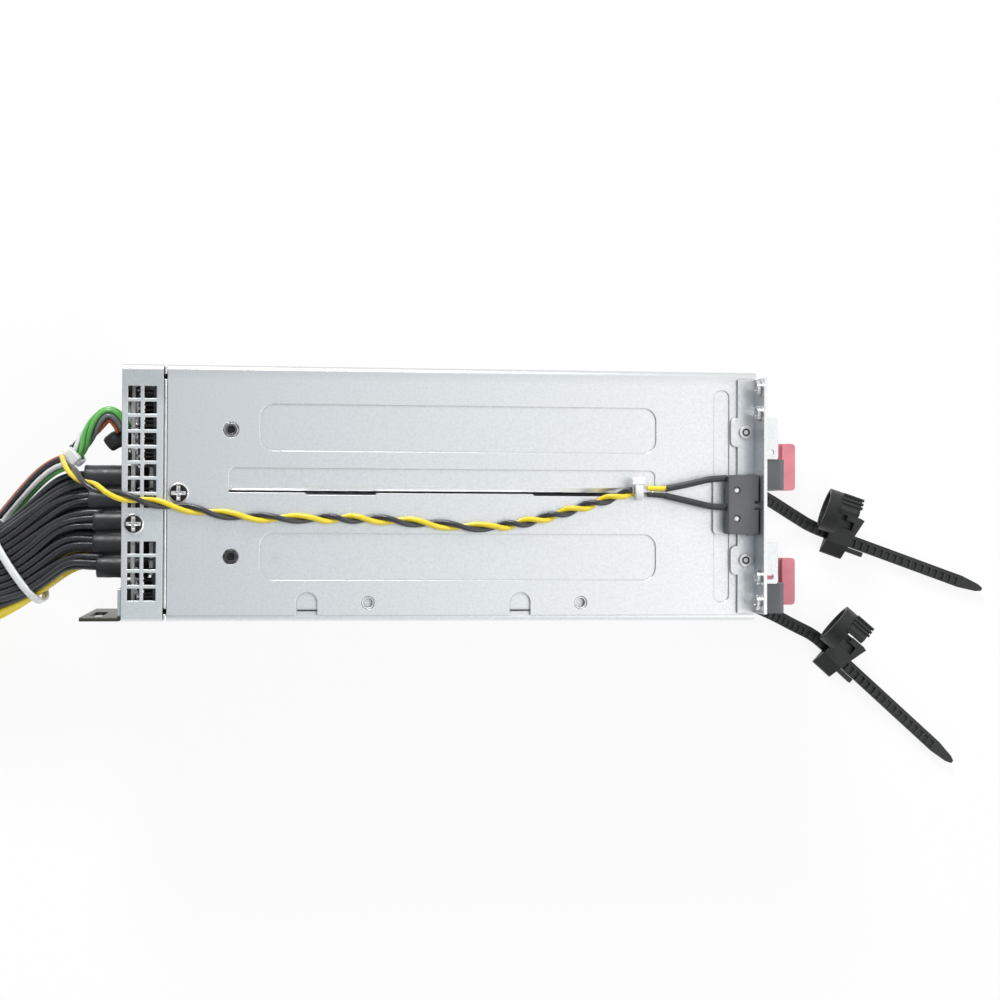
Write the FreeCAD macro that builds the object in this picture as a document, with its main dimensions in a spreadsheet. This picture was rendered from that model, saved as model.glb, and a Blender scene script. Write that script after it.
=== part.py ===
import FreeCAD, Part
import math
import os
import Sketcher
from FreeCAD import Placement, Rotation, Vector

# A redundant server power supply: a sheet-metal cage that lies on its far side wall, two hot swap
# modules stacked in it, a vented rear cover where the output harness leaves, and a front flange.
# Row frame: +X points out of the front, +Y from the lower to the upper module, +Z away from the wall
# that the cage lies on. The origin is the centre of that wall's outer face. Lengths are millimetres.

os.makedirs("parts", exist_ok=True)
doc = FreeCAD.newDocument("redundant_supply")
sheet = doc.addObject("Spreadsheet::Sheet", "Sizes")

# Driving dimensions
SIZES = {
    "cage_length": 212.0,
    "cage_height": 84.0,
    "cage_width": 78.4,
    "cage_sheet": 1.0,
    "bend_radius": 2.0,
    "rib_depth": 0.5,
    "cover_length": 13.3,
    "cover_sheet": 1.0,
    "vent_side": 4.0,
    "vent_pitch": 5.1,
    "foot_length": 13.5,
    "foot_sheet": 1.2,
    "bracket_sheet": 1.2,
    "flange_height": 13.0,
    "module_length": 185.0,
    "module_height": 38.4,
    "module_gap": 0.5,
    "module_setback": 1.0,
    "case_sheet": 0.8,
    "shelf_depth": 5.0,
    "shelf_level": 1.0,
    "slide_gap": 0.3,
    "board_thickness": 1.6,
    "tongue_width": 50.0,
    "tongue_length": 9.0,
    "fan_side": 36.4,
    "fan_depth": 20.0,
    "fan_hub": 16.0,
    "fan_shaft": 3.0,
    "running_gap": 0.05,
    "inlet_width": 24.6,
    "inlet_height": 17.0,
    "inlet_depth": 15.0,
    "handle_height": 10.3,
    "handle_reach": 18.0,
    "handle_bar": 5.6,
    "latch_sheet": 2.6,
    "latch_reach": 34.2,
    "catch_width": 4.0,
    "catch_play": 3.1,
    "strap_width": 4.6,
    "strap_sheet": 1.4,
    "strap_floor": 2.3,
    "tooth_pitch": 2.8,
    "tooth_depth": 0.6,
    "clamp_length": 8.8,
    "loop_radius": 8.0,
    "loop_sheet": 1.4,
    "loop_band": 6.0,
    "switch_length": 19.8,
    "switch_width": 10.2,
    "switch_depth": 6.4,
    "button_radius": 1.15,
    "sleeve_radius": 3.75,
    "trunk_diameter": 29.0,
    "main_diameter": 11.0,
    "processor_diameter": 8.0,
    "drive_diameter": 6.5,
    "signal_diameter": 5.6,
    "twisted_diameter": 3.6,
    "lead_diameter": 1.7,
    "lead_sleeve_diameter": 2.2,
}


class Size:
    """A length with its value and the sheet formula that ties it to the driving dimensions."""

    def __init__(self, value, formula):
        self.value = float(value)
        self.formula = formula

    def __float__(self):
        return self.value

    def __add__(self, other):
        other = size(other)
        return Size(self.value + other.value, f"({self.formula} + {other.formula})")

    def __sub__(self, other):
        other = size(other)
        return Size(self.value - other.value, f"({self.formula} - {other.formula})")

    def __mul__(self, factor):
        return Size(self.value * factor, f"({self.formula} * {factor:g})")

    def __truediv__(self, divisor):
        return Size(self.value / divisor, f"({self.formula} / {divisor:g})")

    def __neg__(self):
        return Size(-self.value, f"(0 - {self.formula})")

    def __radd__(self, other):
        return size(other) + self

    def __rsub__(self, other):
        return size(other) - self


def size(value):
    """A Size as it is, or a plain number as a Size."""
    if isinstance(value, Size):
        return value
    return Size(value, f"({float(value):.6g})")


S = {}
for row, (alias, value) in enumerate(SIZES.items(), start=1):
    sheet.set(f"A{row}", alias)
    sheet.set(f"B{row}", str(value))
    sheet.setAlias(f"B{row}", alias)
    S[alias] = Size(value, f"Sizes.{alias}")
doc.recompute()

nodes = []


def node(piece, label=None):
    """Mark a finished sub-part; its label names its file."""
    if label:
        piece.Label = label
    nodes.append(piece)
    return piece


# Outlines for sketches
def polygon(points):
    """A closed outline of straight lines with every corner tied to the sheet."""
    def draw(sketch):
        first = sketch.GeometryCount
        count = len(points)
        for i in range(count):
            a = Vector(float(points[i][0]), float(points[i][1]), 0)
            b = Vector(float(points[(i + 1) % count][0]), float(points[(i + 1) % count][1]), 0)
            sketch.addGeometry(Part.LineSegment(a, b))
        for i in range(count):
            sketch.addConstraint(Sketcher.Constraint("Coincident", first + i, 2, first + (i + 1) % count, 1))
        for i in range(count):
            place(sketch, first + i, 1, points[i][0], points[i][1])
    return draw


def rectangle(a0, b0, a1, b1):
    return polygon([(a0, b0), (a1, b0), (a1, b1), (a0, b1)])


def circle(a, b, radius):
    """A circle with its centre and radius tied to the sheet."""
    def draw(sketch):
        index = sketch.addGeometry(Part.Circle(Vector(float(a), float(b), 0), Vector(0, 0, 1), float(radius)))
        place(sketch, index, 3, a, b)
        tie(sketch, sketch.addConstraint(Sketcher.Constraint("Radius", index, float(radius))), radius)
    return draw


def rounded(a0, b0, a1, b1, radius):
    """A rectangle with four round corners, tangent to its sides."""
    def draw(sketch):
        r = float(radius)
        x0, y0, x1, y1 = float(a0), float(b0), float(a1), float(b1)
        first = sketch.GeometryCount
        ends = [((x0 + r, y0), (x1 - r, y0)), ((x1, y0 + r), (x1, y1 - r)),
                ((x1 - r, y1), (x0 + r, y1)), ((x0, y1 - r), (x0, y0 + r))]
        for a, b in ends:
            sketch.addGeometry(Part.LineSegment(Vector(*a, 0), Vector(*b, 0)))
        centres = [(a1 - radius, b0 + radius), (a1 - radius, b1 - radius),
                   (a0 + radius, b1 - radius), (a0 + radius, b0 + radius)]
        for i, (a, b) in enumerate(centres):
            round_part = Part.Circle(Vector(float(a), float(b), 0), Vector(0, 0, 1), r)
            start = -math.pi / 2 + i * math.pi / 2
            sketch.addGeometry(Part.ArcOfCircle(round_part, start, start + math.pi / 2))
        for i, (a, b) in enumerate(centres):
            arc = first + 4 + i
            sketch.addConstraint(Sketcher.Constraint("Tangent", first + i, 2, arc, 1))
            sketch.addConstraint(Sketcher.Constraint("Tangent", arc, 2, first + (i + 1) % 4, 1))
            place(sketch, arc, 3, a, b)
        tie(sketch, sketch.addConstraint(Sketcher.Constraint("Radius", first + 4, r)), size(radius))
    return draw


def place(sketch, index, point, a, b):
    """Hold a point at its two distances from the sketch's origin."""
    for kind, length in (("DistanceX", a), ("DistanceY", b)):
        held = sketch.addConstraint(Sketcher.Constraint(kind, -1, 1, index, point, float(length)))
        tie(sketch, held, length)


def tie(sketch, constraint, length):
    if isinstance(length, Size) and "Sizes" in length.formula:
        sketch.setExpression(f"Constraints[{constraint}]", length.formula)


# Part design bodies
def new_body(label):
    body = doc.addObject("PartDesign::Body", label)
    body.Label = label
    return body


def sketch_on(body, plane, level, outlines):
    """A sketch on one of the body's own planes, moved to a level along that plane's world axis."""
    sketch = body.newObject("Sketcher::SketchObject", f"{body.Label}_sketch")
    support = [f for f in body.Origin.OriginFeatures if f.Role == f"{plane}_Plane"][0]
    sketch.AttachmentSupport = [(support, "")]
    sketch.MapMode = "FlatFace"
    level = -size(level) if plane == "XZ" else size(level)
    sketch.AttachmentOffset = Placement(Vector(0, 0, float(level)), Rotation())
    sketch.setExpression("AttachmentOffset.Base.z", level.formula)
    for draw in outlines:
        draw(sketch)
    return sketch


def add(body, plane, low, high, *outlines):
    """Material between two levels."""
    sketch = sketch_on(body, plane, high if plane == "XZ" else low, outlines)
    pad = body.newObject("PartDesign::Pad", f"{body.Label}_pad")
    pad.Profile = sketch
    pad.Length = float(high) - float(low)
    pad.setExpression("Length", (size(high) - low).formula)
    return pad


def cut(body, plane, low, high, *outlines):
    """A cut between two levels."""
    sketch = sketch_on(body, plane, low if plane == "XZ" else high, outlines)
    pocket = body.newObject("PartDesign::Pocket", f"{body.Label}_cut")
    pocket.Profile = sketch
    pocket.Length = float(high) - float(low)
    pocket.setExpression("Length", (size(high) - low).formula)
    return pocket


def pattern(body, feature, axis, pitch, count):
    """Copies of a feature in a row, pitch apart."""
    row = body.newObject("PartDesign::LinearPattern", f"{body.Label}_row")
    row.Originals = [feature]
    line = [f for f in body.Origin.OriginFeatures if f.Role == f"{axis}_Axis"][0]
    row.Direction = (line, [""])
    row.Length = float(pitch) * (count - 1)
    row.setExpression("Length", (pitch * (count - 1)).formula)
    row.Occurrences = count
    body.Tip = row
    return row


def round_edges(body, radius, test):
    """Fillet the edges of the body's last feature that pass a test on their two end points."""
    doc.recompute()
    base = body.Tip
    names = []
    for i, edge in enumerate(base.Shape.Edges, start=1):
        ends = [v.Point for v in edge.Vertexes]
        if len(ends) == 2 and test(ends[0], ends[1]):
            names.append(f"Edge{i}")
    fillet = body.newObject("PartDesign::Fillet", f"{body.Label}_round")
    fillet.Base = (base, names)
    fillet.Radius = float(radius)
    fillet.setExpression("Radius", size(radius).formula)
    return fillet


def near(a, b, slack=0.02):
    return abs(float(a) - float(b)) < slack


# Plain solids
def put(piece, x, y, z):
    """Set a solid's place, tied to the sheet."""
    piece.Placement.Base = Vector(float(x), float(y), float(z))
    for axis, length in zip("xyz", (x, y, z)):
        piece.setExpression(f"Placement.Base.{axis}", size(length).formula)


def box(label, x0, x1, y0, y1, z0, z1):
    piece = doc.addObject("Part::Box", label)
    piece.Label = label
    for side, low, high in (("Length", x0, x1), ("Width", y0, y1), ("Height", z0, z1)):
        piece.setExpression(side, (size(high) - low).formula)
    put(piece, x0, y0, z0)
    return piece


TURNS = {"X": Rotation(Vector(0, 1, 0), 90), "Y": Rotation(Vector(1, 0, 0), -90), "Z": Rotation()}


def rod(label, axis, x, y, z, radius, length):
    """A cylinder that starts at a point and runs along an axis."""
    piece = doc.addObject("Part::Cylinder", label)
    piece.Label = label
    piece.Placement = Placement(Vector(), TURNS[axis])
    piece.setExpression("Radius", size(radius).formula)
    piece.setExpression("Height", size(length).formula)
    put(piece, x, y, z)
    return piece


def hexagon(label, axis, x, y, z, circumradius, length):
    """A hexagonal prism that starts at a point and runs along an axis."""
    piece = doc.addObject("Part::Prism", label)
    piece.Label = label
    piece.Polygon = 6
    piece.Placement = Placement(Vector(), TURNS[axis])
    piece.setExpression("Circumradius", size(circumradius).formula)
    piece.setExpression("Height", size(length).formula)
    put(piece, x, y, z)
    return piece


def fuse(label, pieces):
    piece = doc.addObject("Part::MultiFuse", label)
    piece.Label = label
    piece.Shapes = pieces
    return piece


def subtract(label, base, tools):
    piece = doc.addObject("Part::Cut", label)
    piece.Label = label
    piece.Base = base
    piece.Tool = tools[0] if len(tools) == 1 else fuse(f"{label}_tools", tools)
    return piece


def group(label, pieces):
    """Separate solids kept together as one sub-part."""
    piece = doc.addObject("Part::Compound", label)
    piece.Label = label
    piece.Links = pieces
    return piece


# Cords
def cord_path(points, label):
    """Straight runs joined by tangent arcs as large as the two runs allow, as one wire."""
    corners = [Vector(*p) for p in points]
    edges = []
    start = corners[0]
    radii = []
    for before, corner, after in zip(corners, corners[1:], corners[2:]):
        inward = (before - corner).normalize()
        outward = (after - corner).normalize()
        half_turn = (math.pi - inward.getAngle(outward)) / 2
        reach = 0.45 * min((before - corner).Length, (after - corner).Length)
        radius = reach / math.tan(half_turn)
        first = corner + inward * reach
        last = corner + outward * reach
        middle = corner + (inward + outward).normalize() * (radius / math.cos(half_turn) - radius)
        edges.append(Part.LineSegment(start, first).toShape())
        edges.append(Part.Arc(first, middle, last).toShape())
        start = last
        radii.append(round(radius, 1))
    edges.append(Part.LineSegment(start, corners[-1]).toShape())
    wire = Part.Wire(edges)
    print(label, "length", round(wire.Length, 1), "arc radii", radii)
    return wire


def tube(points, diameter, label):
    """A round cord along its route."""
    wire = cord_path(points, label)
    direction = Vector(*points[1]) - Vector(*points[0])
    rim = Part.Wire(Part.makeCircle(diameter / 2, Vector(*points[0]), direction))
    shape = wire.makePipeShell([rim], True, False)
    expected = math.pi * diameter ** 2 / 4 * wire.Length
    if abs(shape.Volume / expected - 1) > 0.01:
        raise ValueError(f"{label}: volume {shape.Volume:.1f}, expected {expected:.1f}")
    return shape


def feature(label, shape, where=None):
    """A sub-part whose shape is worked out here."""
    piece = doc.addObject("Part::Feature", label)
    piece.Label = label
    piece.Shape = shape
    if where:
        piece.Placement = where
    return piece


# Shared places
front = S["cage_length"] / 2
rear = -front
top = S["cage_height"] / 2
bottom = -top
width = S["cage_width"]
wall = S["cage_sheet"]
near_inside = width - wall
seam = rear + S["cover_length"]
shell_rear = seam + 1.3
shell_front = front - 0.4
wall_bottom = bottom + 2.0
base_front = front - 18.0
shelf_top = S["shelf_level"] + wall
module_far = wall * 2 + S["module_gap"]
module_near = width - module_far
module_front = front - S["module_setback"]
module_rear = module_front - S["module_length"]
half_module = S["module_height"] / 2
upper_centre = shelf_top + S["slide_gap"] + half_module
lower_centre = bottom + wall + S["slide_gap"] + half_module
MODULES = (("upper", upper_centre), ("lower", lower_centre))
SIDES = (("far", size(0.0), wall, 1), ("near", width, near_inside, -1))

# Places along the wall, read off the cage from its rear end
insert_x = rear + 35.2
insert_y = size(20.8)
rib_ends = (rear + 44.6, rear + 177.0)
rib_low, rib_high = size(14.0), size(29.5)
shelf_ends = (rear + 34.5, rear + 176.7)
shelf_recess_top = shelf_top + 6.4
front_rib = (front - 15.2, front - 9.8)
front_rib_half = size(35.8)
arch_places = (rear + 60.0, rear + 130.9)
dimple_places = (rear + 80.2, rear + 151.4)
dimple_y = bottom + 6.1
relief_places = ((rear + 58.7, rear + 83.7), (rear + 134.5, rear + 161.3))
wall_screw = (rear + 18.3, size(-0.1))
cover_screw = (rear + 3.9, size(-10.2))
rivet_x = front - 4.4
rivet_y = size(21.6)
catch_middle = size(-10.2)
latch_low = catch_middle - S["catch_width"] / 2 - S["catch_play"]
latch_high = catch_middle + S["catch_width"] / 2 + S["catch_play"]
button_y = size(-3.2)
button_z = width + S["bracket_sheet"] + S["switch_depth"] / 2 + 0.4
nut_places = (size(36.0), size(27.6), size(-27.4), size(-35.6))
nut_z = width + 8.2
SCREW_BORE = 1.25
SHANK_HOLE = 1.55


def cage_shell():
    """The folded near, upper and far walls with their ribs, shelves and cut-outs."""
    body = new_body("cage_shell")
    profile = [(wall_bottom, 0), (top, 0), (top, width), (wall_bottom, width),
               (wall_bottom, near_inside), (top - wall, near_inside), (top - wall, wall), (wall_bottom, wall)]
    profile = [(size(a), size(b)) for a, b in profile]
    add(body, "YZ", shell_rear, shell_front, polygon(profile))
    outer = [(float(top), 0.0), (float(top), float(width))]
    inner = [(float(top - wall), float(wall)), (float(top - wall), float(near_inside))]
    round_edges(body, S["bend_radius"], lambda a, b: any(near(a.y, y) and near(b.y, y) and near(a.z, z)
                and near(b.z, z) for y, z in outer))
    round_edges(body, S["bend_radius"] - wall, lambda a, b: any(near(a.y, y) and near(b.y, y) and near(a.z, z)
                and near(b.z, z) for y, z in inner))
    depth = S["rib_depth"]
    for _, outside, inside, way in SIDES:
        low_in, high_in = (inside, inside + depth) if way > 0 else (inside - depth, inside)
        low_out, high_out = (outside, outside + depth) if way > 0 else (outside - depth, outside)
        ribs = [rounded(rib_ends[0], rib_low, rib_ends[1], rib_high, 4.5),
                rounded(rib_ends[0], -rib_high + 1.0, rib_ends[1], -rib_low + 1.0, 4.5),
                rounded(front_rib[0], -front_rib_half, front_rib[1], front_rib_half, 2.4)]
        add(body, "XY", low_in, high_in, *ribs)
        recess = rounded(shelf_ends[0], S["shelf_level"], shelf_ends[1], shelf_recess_top, 2.0)
        add(body, "XY", low_in, high_in, recess)
        cut(body, "XY", low_out, high_out, *ribs, recess)
        shelf = (inside, inside + S["shelf_depth"]) if way > 0 else (inside - S["shelf_depth"], inside)
        add(body, "XY", shelf[0], shelf[1],
            rectangle(shelf_ends[0] + 1.5, S["shelf_level"], shelf_ends[1] - 1.5, shelf_top))
        bend = outside + (depth if way > 0 else -depth)
        cut(body, "YZ", shelf_ends[0] + 1.0, shelf_ends[1] - 1.0,
            polygon([(S["shelf_level"] - 0.2, bend - way * 0.2), (S["shelf_level"] + 1.6, bend - way * 0.2),
                     (S["shelf_level"] + 1.6, bend), (S["shelf_level"], bend + way * 0.7),
                     (S["shelf_level"] - 0.2, bend + way * 0.7)]))
        through = (size(-1.0), inside + depth + 0.1) if way > 0 else (inside - depth - 0.1, width + 1.0)
        slit_low = S["shelf_level"] - 0.7
        cut(body, "XY", through[0], through[1],
            rectangle(shelf_ends[0], slit_low, shelf_ends[1], S["shelf_level"]))
        for start, end in relief_places:
            cut(body, "XY", through[0], through[1],
                polygon([(start, S["shelf_level"]), (start + 1.2, slit_low - 0.7), (end - 1.2, slit_low - 0.7),
                         (end, S["shelf_level"])]))
        for x in arch_places:
            cut(body, "XY", through[0], through[1],
                rounded(x - 3.5, bottom - 4.0, x + 3.5, bottom + 9.6, 3.4))
        cut(body, "XY", through[0], through[1], *[circle(x, dimple_y, 2.2) for x in dimple_places])
    cut(body, "XY", near_inside - 1.0, width + 1.0, *[circle(insert_x, y, 2.6) for y in (insert_y, -insert_y)],
        *[circle(rivet_x, y, SHANK_HOLE) for y in (rivet_y, -rivet_y)], circle(*wall_screw, SHANK_HOLE))
    for _, centre in MODULES:
        cut(body, "XY", size(-1.0), wall + depth + 0.5,
            rectangle(front - 18.0, centre + latch_low, front + 1.0, centre + latch_high))
    return node(body)


def cage_base_plate():
    """The sheet under the lower module, with flanges that stand inside the side walls."""
    body = new_body("cage_base_plate")
    flange_top = bottom + 11.0
    low_side, high_side = wall, near_inside
    profile = [(bottom, low_side), (bottom, high_side), (flange_top, high_side), (flange_top, high_side - wall),
               (bottom + wall, high_side - wall), (bottom + wall, low_side + wall), (flange_top, low_side + wall),
               (flange_top, low_side)]
    add(body, "YZ", shell_rear, shell_front, polygon(profile))
    round_edges(body, S["bend_radius"] - 0.2, lambda a, b: near(a.y, bottom) and near(b.y, bottom)
                and near(a.z, b.z) and not near(a.x, b.x))
    cut(body, "XY", wall - 0.5, near_inside + 0.5,
        rectangle(base_front, bottom + wall + 1.2, front + 1.0, flange_top + 1.0),
        rectangle(shell_rear - 1.0, bottom + wall + 1.2, shell_rear + 3.0, flange_top + 1.0))
    for x in dimple_places:
        add(body, "XY", near_inside, near_inside + 0.7, circle(x, dimple_y, 2.1))
        add(body, "XY", wall - 0.7, wall, circle(x, dimple_y, 2.1))
    cut(body, "XY", size(-1.0), width + 1.0, *[circle(x, dimple_y, 1.6) for x in dimple_places])
    return node(body)


def rear_cover():
    """The vented box that closes the rear end, with the harness cut-out in its back."""
    body = new_body("rear_cover")
    skin = S["cover_sheet"]
    add(body, "XY", size(0.0), width, rectangle(rear, bottom, seam, top))
    round_edges(body, S["bend_radius"], lambda a, b: near(abs(a.y), top) and near(abs(b.y), top)
                and (near(a.z, 0) or near(a.z, width)) and near(a.z, b.z) and not near(a.x, b.x))
    cut(body, "YZ", rear + skin, seam + 1.0,
        rectangle(bottom + skin, skin, top - skin, width - skin))
    lip = 0.8
    for low in (wall, near_inside - lip):
        add(body, "XY", low, low + lip, rectangle(seam - 4.0, bottom + 12.0, seam + 7.7, top - 4.8))
        add(body, "XY", low, low + lip, rectangle(seam - 4.0, bottom + 4.8, seam + 2.8, bottom + 12.0))
    cut(body, "YZ", rear - 1.0, rear + skin + 1.0,
        rounded(bottom + 12.6, size(26.0), size(11.0), size(62.0), 3.0),
        rounded(size(14.0), size(44.0), size(32.0), size(60.0), 3.0))
    side = S["vent_side"]
    columns = (rear + 1.9, rear + 7.1)
    for first_low, rows in ((size(-4.9), 8), (size(-35.2), 4)):
        squares = [rectangle(x, first_low, x + side, first_low + side) for x in columns]
        vents = cut(body, "XY", size(-1.0), width + 1.0, *squares)
        pattern(body, vents, "Y", S["vent_pitch"], rows)
    cut(body, "XY", width / 2, width + 1.0, circle(*cover_screw, SHANK_HOLE), circle(*wall_screw, SHANK_HOLE))
    return node(body)


def rear_foot_bracket():
    """The angle on the rear face whose foot takes a fixing screw in a slot."""
    body = new_body("rear_foot_bracket")
    skin = S["foot_sheet"]
    end = rear - S["foot_length"]
    profile = [(rear, bottom), (rear, bottom + 10.5), (rear - skin, bottom + 10.5), (rear - skin, bottom + skin),
               (end, bottom + skin), (end, bottom)]
    add(body, "XY", size(2.0), width - 2.0, polygon(profile))
    round_edges(body, 1.0, lambda a, b: near(a.x, rear) and near(b.x, rear) and near(a.y, bottom)
                and near(b.y, bottom))
    cut(body, "XZ", bottom - 1.0, bottom + skin + 1.0,
        rounded(end + 2.2, size(32.0), end + 6.6, size(66.0), 2.15))
    return node(body)


def front_flange_bracket():
    """The angle on the near wall whose flange stands up at the front edge."""
    body = new_body("front_flange_bracket")
    skin = S["bracket_sheet"]
    leg_end = front - 7.1
    half = top - 2.6
    crown = width + S["flange_height"]
    profile = [(leg_end, width), (front, width), (front, crown), (front - skin, crown), (front - skin, width + skin),
               (leg_end, width + skin)]
    add(body, "XZ", -half, half, polygon(profile))
    round_edges(body, 2.2, lambda a, b: near(a.x, front) and near(b.x, front) and near(a.z, width)
                and near(b.z, width))
    for y in (rivet_y, -rivet_y):
        add(body, "XY", width, width + skin, rounded(leg_end - 2.4, y - 4.9, leg_end + 3.0, y + 4.9, 2.0))
    add(body, "XY", width, width + skin,
        rounded(front - 15.6, switch_mid - 9.8, leg_end + 3.0, switch_mid + 8.6, 1.3))
    cut(body, "XY", width - 0.5, width + skin + 0.5,
        *[circle(rivet_x, y, SHANK_HOLE) for y in (rivet_y, -rivet_y)])
    cut(body, "YZ", front - skin - 0.5, front + 0.5, *[circle(y, nut_z, 1.6) for y in nut_places],
        circle(button_y, button_z, S["button_radius"] + 0.4))
    return node(body)


def small_fasteners():
    """Flange nuts, bracket rivets, cross-head screws and wall inserts."""
    skin = S["bracket_sheet"]
    nuts = []
    for i, y in enumerate(nut_places):
        nut = rod(f"flange_nut_{i}", "X", front - skin - 1.5, y, nut_z, 2.5, 1.5)
        hole = rod(f"flange_nut_bore_{i}", "X", front - skin - 2.0, y, nut_z, SCREW_BORE, 3.0)
        nuts.append(subtract(f"flange_nut_ring_{i}", nut, [hole]))
    node(group("flange_nuts", nuts))
    rivets = []
    for i, y in enumerate((rivet_y, -rivet_y)):
        shank = rod(f"rivet_shank_{i}", "Z", rivet_x, y, near_inside, 1.5, wall + skin + 0.1)
        head = rod(f"rivet_head_{i}", "Z", rivet_x, y, width + skin, 2.2, 0.8)
        rivets.append(fuse(f"rivet_{i}", [shank, head]))
    node(group("bracket_rivets", rivets))
    screws = []
    for i, (x, y) in enumerate((cover_screw, wall_screw)):
        shank = rod(f"screw_shank_{i}", "Z", x, y, near_inside - 2.4, 1.5, wall + 2.5)
        head = rod(f"screw_head_{i}", "Z", x, y, width, 2.6, 1.5)
        slots = [box(f"screw_slot_{i}a", x - 1.5, x + 1.5, y - 0.3, y + 0.3, width + 0.7, width + 2.0),
                 box(f"screw_slot_{i}b", x - 0.3, x + 0.3, y - 1.5, y + 1.5, width + 0.7, width + 2.0)]
        screws.append(subtract(f"screw_{i}", fuse(f"screw_blank_{i}", [shank, head]), slots))
    node(group("cross_screws", screws))
    inserts = []
    for i, y in enumerate((insert_y, -insert_y)):
        shape = hexagon(f"insert_hex_{i}", "Z", insert_x, y, near_inside - 0.9, 2.55, wall + 1.0)
        hole = rod(f"insert_bore_{i}", "Z", insert_x, y, near_inside - 2.0, SCREW_BORE, 5.0)
        inserts.append(subtract(f"insert_{i}", shape, [hole]))
    node(group("wall_inserts", inserts))


board_rear = rear + 10.0
board_front = board_rear + S["board_thickness"]
card_level = -6.5
tongue_low = width / 2 - S["tongue_width"] / 2
tongue_high = width / 2 + S["tongue_width"] / 2


def distribution():
    """The board behind the modules, its card sockets, capacitors and output lugs."""
    body = new_body("distribution_board")
    add(body, "YZ", board_rear, board_front, rounded(bottom + 3.0, size(3.5), top - 3.0, width - 3.5, 2.0))
    node(body)
    sockets = []
    for name, centre in MODULES:
        card = centre + card_level
        block = box(f"{name}_socket_block", board_front, board_front + 10.0, card - 4.5, card + 4.5,
                    tongue_low - 3.0, tongue_high + 3.0)
        mouth = box(f"{name}_socket_slot", board_front + 2.0, board_front + 11.0,
                    card - S["board_thickness"] / 2 - 0.3, card + S["board_thickness"] / 2 + 0.3,
                    tongue_low - 0.4, tongue_high + 0.4)
        sockets.append(subtract(f"{name}_socket", block, [mouth]))
    node(group("board_sockets", sockets))
    cans = []
    for i, (y, z) in enumerate(((27.0, 14.0), (27.0, 26.5), (27.0, 39.0), (-14.0, 14.0), (-14.0, 26.5), (-14.0, 39.0))):
        cans.append(rod(f"board_can_{i}", "X", board_front, size(y), size(z), 5.0, 9.6))
    node(group("board_capacitors", cans))
    lugs = []
    for i, z in enumerate(sleeve_levels):
        lugs.append(box(f"output_lug_{i}", board_rear - 2.5, board_rear, sleeve_first - 3.0,
                        sleeve_first + sleeve_pitch * 4 + 3.0, z - 2.0, z + 2.0))
    node(group("output_lugs", lugs))


sleeve_first = size(-24.5)
sleeve_pitch = size(7.6)
sleeve_levels = (size(40.0), size(47.6))
sleeve_ends = [rear - reach for reach in (9.6, 10.4, 11.2, 12.2, 13.2)]


def cable_sleeves():
    """Heat-shrink sleeves over the bunches of output wires where they leave the cover."""
    sleeves = []
    for row, z in enumerate(sleeve_levels):
        for column, end in enumerate(sleeve_ends):
            sleeves.append(rod(f"sleeve_{row}_{column}", "X", end, sleeve_first + sleeve_pitch * column, z,
                               S["sleeve_radius"], board_rear - 2.5 - end))
    node(group("cable_sleeves", sleeves))


switch_left = front - S["bracket_sheet"] - 0.4 - S["switch_width"]
switch_right = front - S["bracket_sheet"] - 0.4
switch_mid = size(-2.9)
switch_base = width + S["bracket_sheet"]
switch_top = button_z + S["switch_depth"] / 2
terminal_places = (size(6.0), size(-3.8))


def switch():
    """The small switch on the bracket, its blades and its button."""
    body = new_body("switch_body")
    low, high = switch_mid - S["switch_length"] / 2, switch_mid + S["switch_length"] / 2
    add(body, "XY", switch_base, switch_top, rounded(switch_left, low, switch_right, high, 0.8),
        circle(switch_left + 2.8, switch_mid + 4.75, 1.2), circle(switch_left + 2.8, switch_mid - 4.75, 1.2))
    cut(body, "YZ", switch_right - 4.6, switch_right + 0.5,
        circle(button_y, button_z, S["button_radius"] + S["running_gap"]))
    cut(body, "XY", button_z, switch_top + 0.5,
        rectangle(switch_right - 1.3, button_y - 1.5, switch_right + 0.5, button_y + 1.5))
    for way in (1, -1):
        end = switch_mid + S["switch_length"] * (way / 2)
        add(body, "XY", switch_top - 2.0, switch_top,
            rectangle(switch_right - 3.6, end - 0.4, switch_right - 1.4, end + 0.4))
    node(body)
    blades = [box(f"switch_blade_{i}", switch_left - 2.4, switch_left, y - 1.0, y + 1.0, button_z - 0.25,
                  button_z + 0.25) for i, y in enumerate(terminal_places)]
    node(group("switch_terminals", blades))
    node(rod("switch_button", "X", switch_right - 3.4, button_y, button_z, S["button_radius"], 5.6))


def case_tray(name, centre):
    """The module's folded tray: floor, two sides and the rear wall."""
    body = new_body(f"{name}_case_tray")
    skin = S["case_sheet"]
    low, high = centre - half_module, centre + half_module
    end = module_front - 1.0
    profile = [(low, module_far), (high, module_far), (high, module_far + skin), (low + skin, module_far + skin),
               (low + skin, module_near - skin), (high, module_near - skin), (high, module_near),
               (low, module_near)]
    add(body, "YZ", module_rear, end, polygon(profile))
    add(body, "YZ", module_rear, module_rear + skin,
        rectangle(low + 0.4, module_far + 0.4, high - skin, module_near - 0.4))
    card = centre + card_level
    cut(body, "YZ", module_rear - 1.0, module_rear + skin + 0.5,
        rectangle(card - 2.2, tongue_low - 0.6, card + 2.2, tongue_high + 0.6))
    slots = cut(body, "YZ", module_rear - 1.0, module_rear + skin + 0.5,
                rounded(centre + 2.0, module_far + 8.0, centre + 15.0, module_far + 11.0, 1.45))
    pattern(body, slots, "Z", size(6.0), 10)
    window = rectangle(front - 18.5, centre + latch_low - 0.5, front + 1.0, centre + latch_high + 0.5)
    cut(body, "XY", module_far - 0.5, module_far + skin + 0.5, window)
    return node(body)


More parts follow.
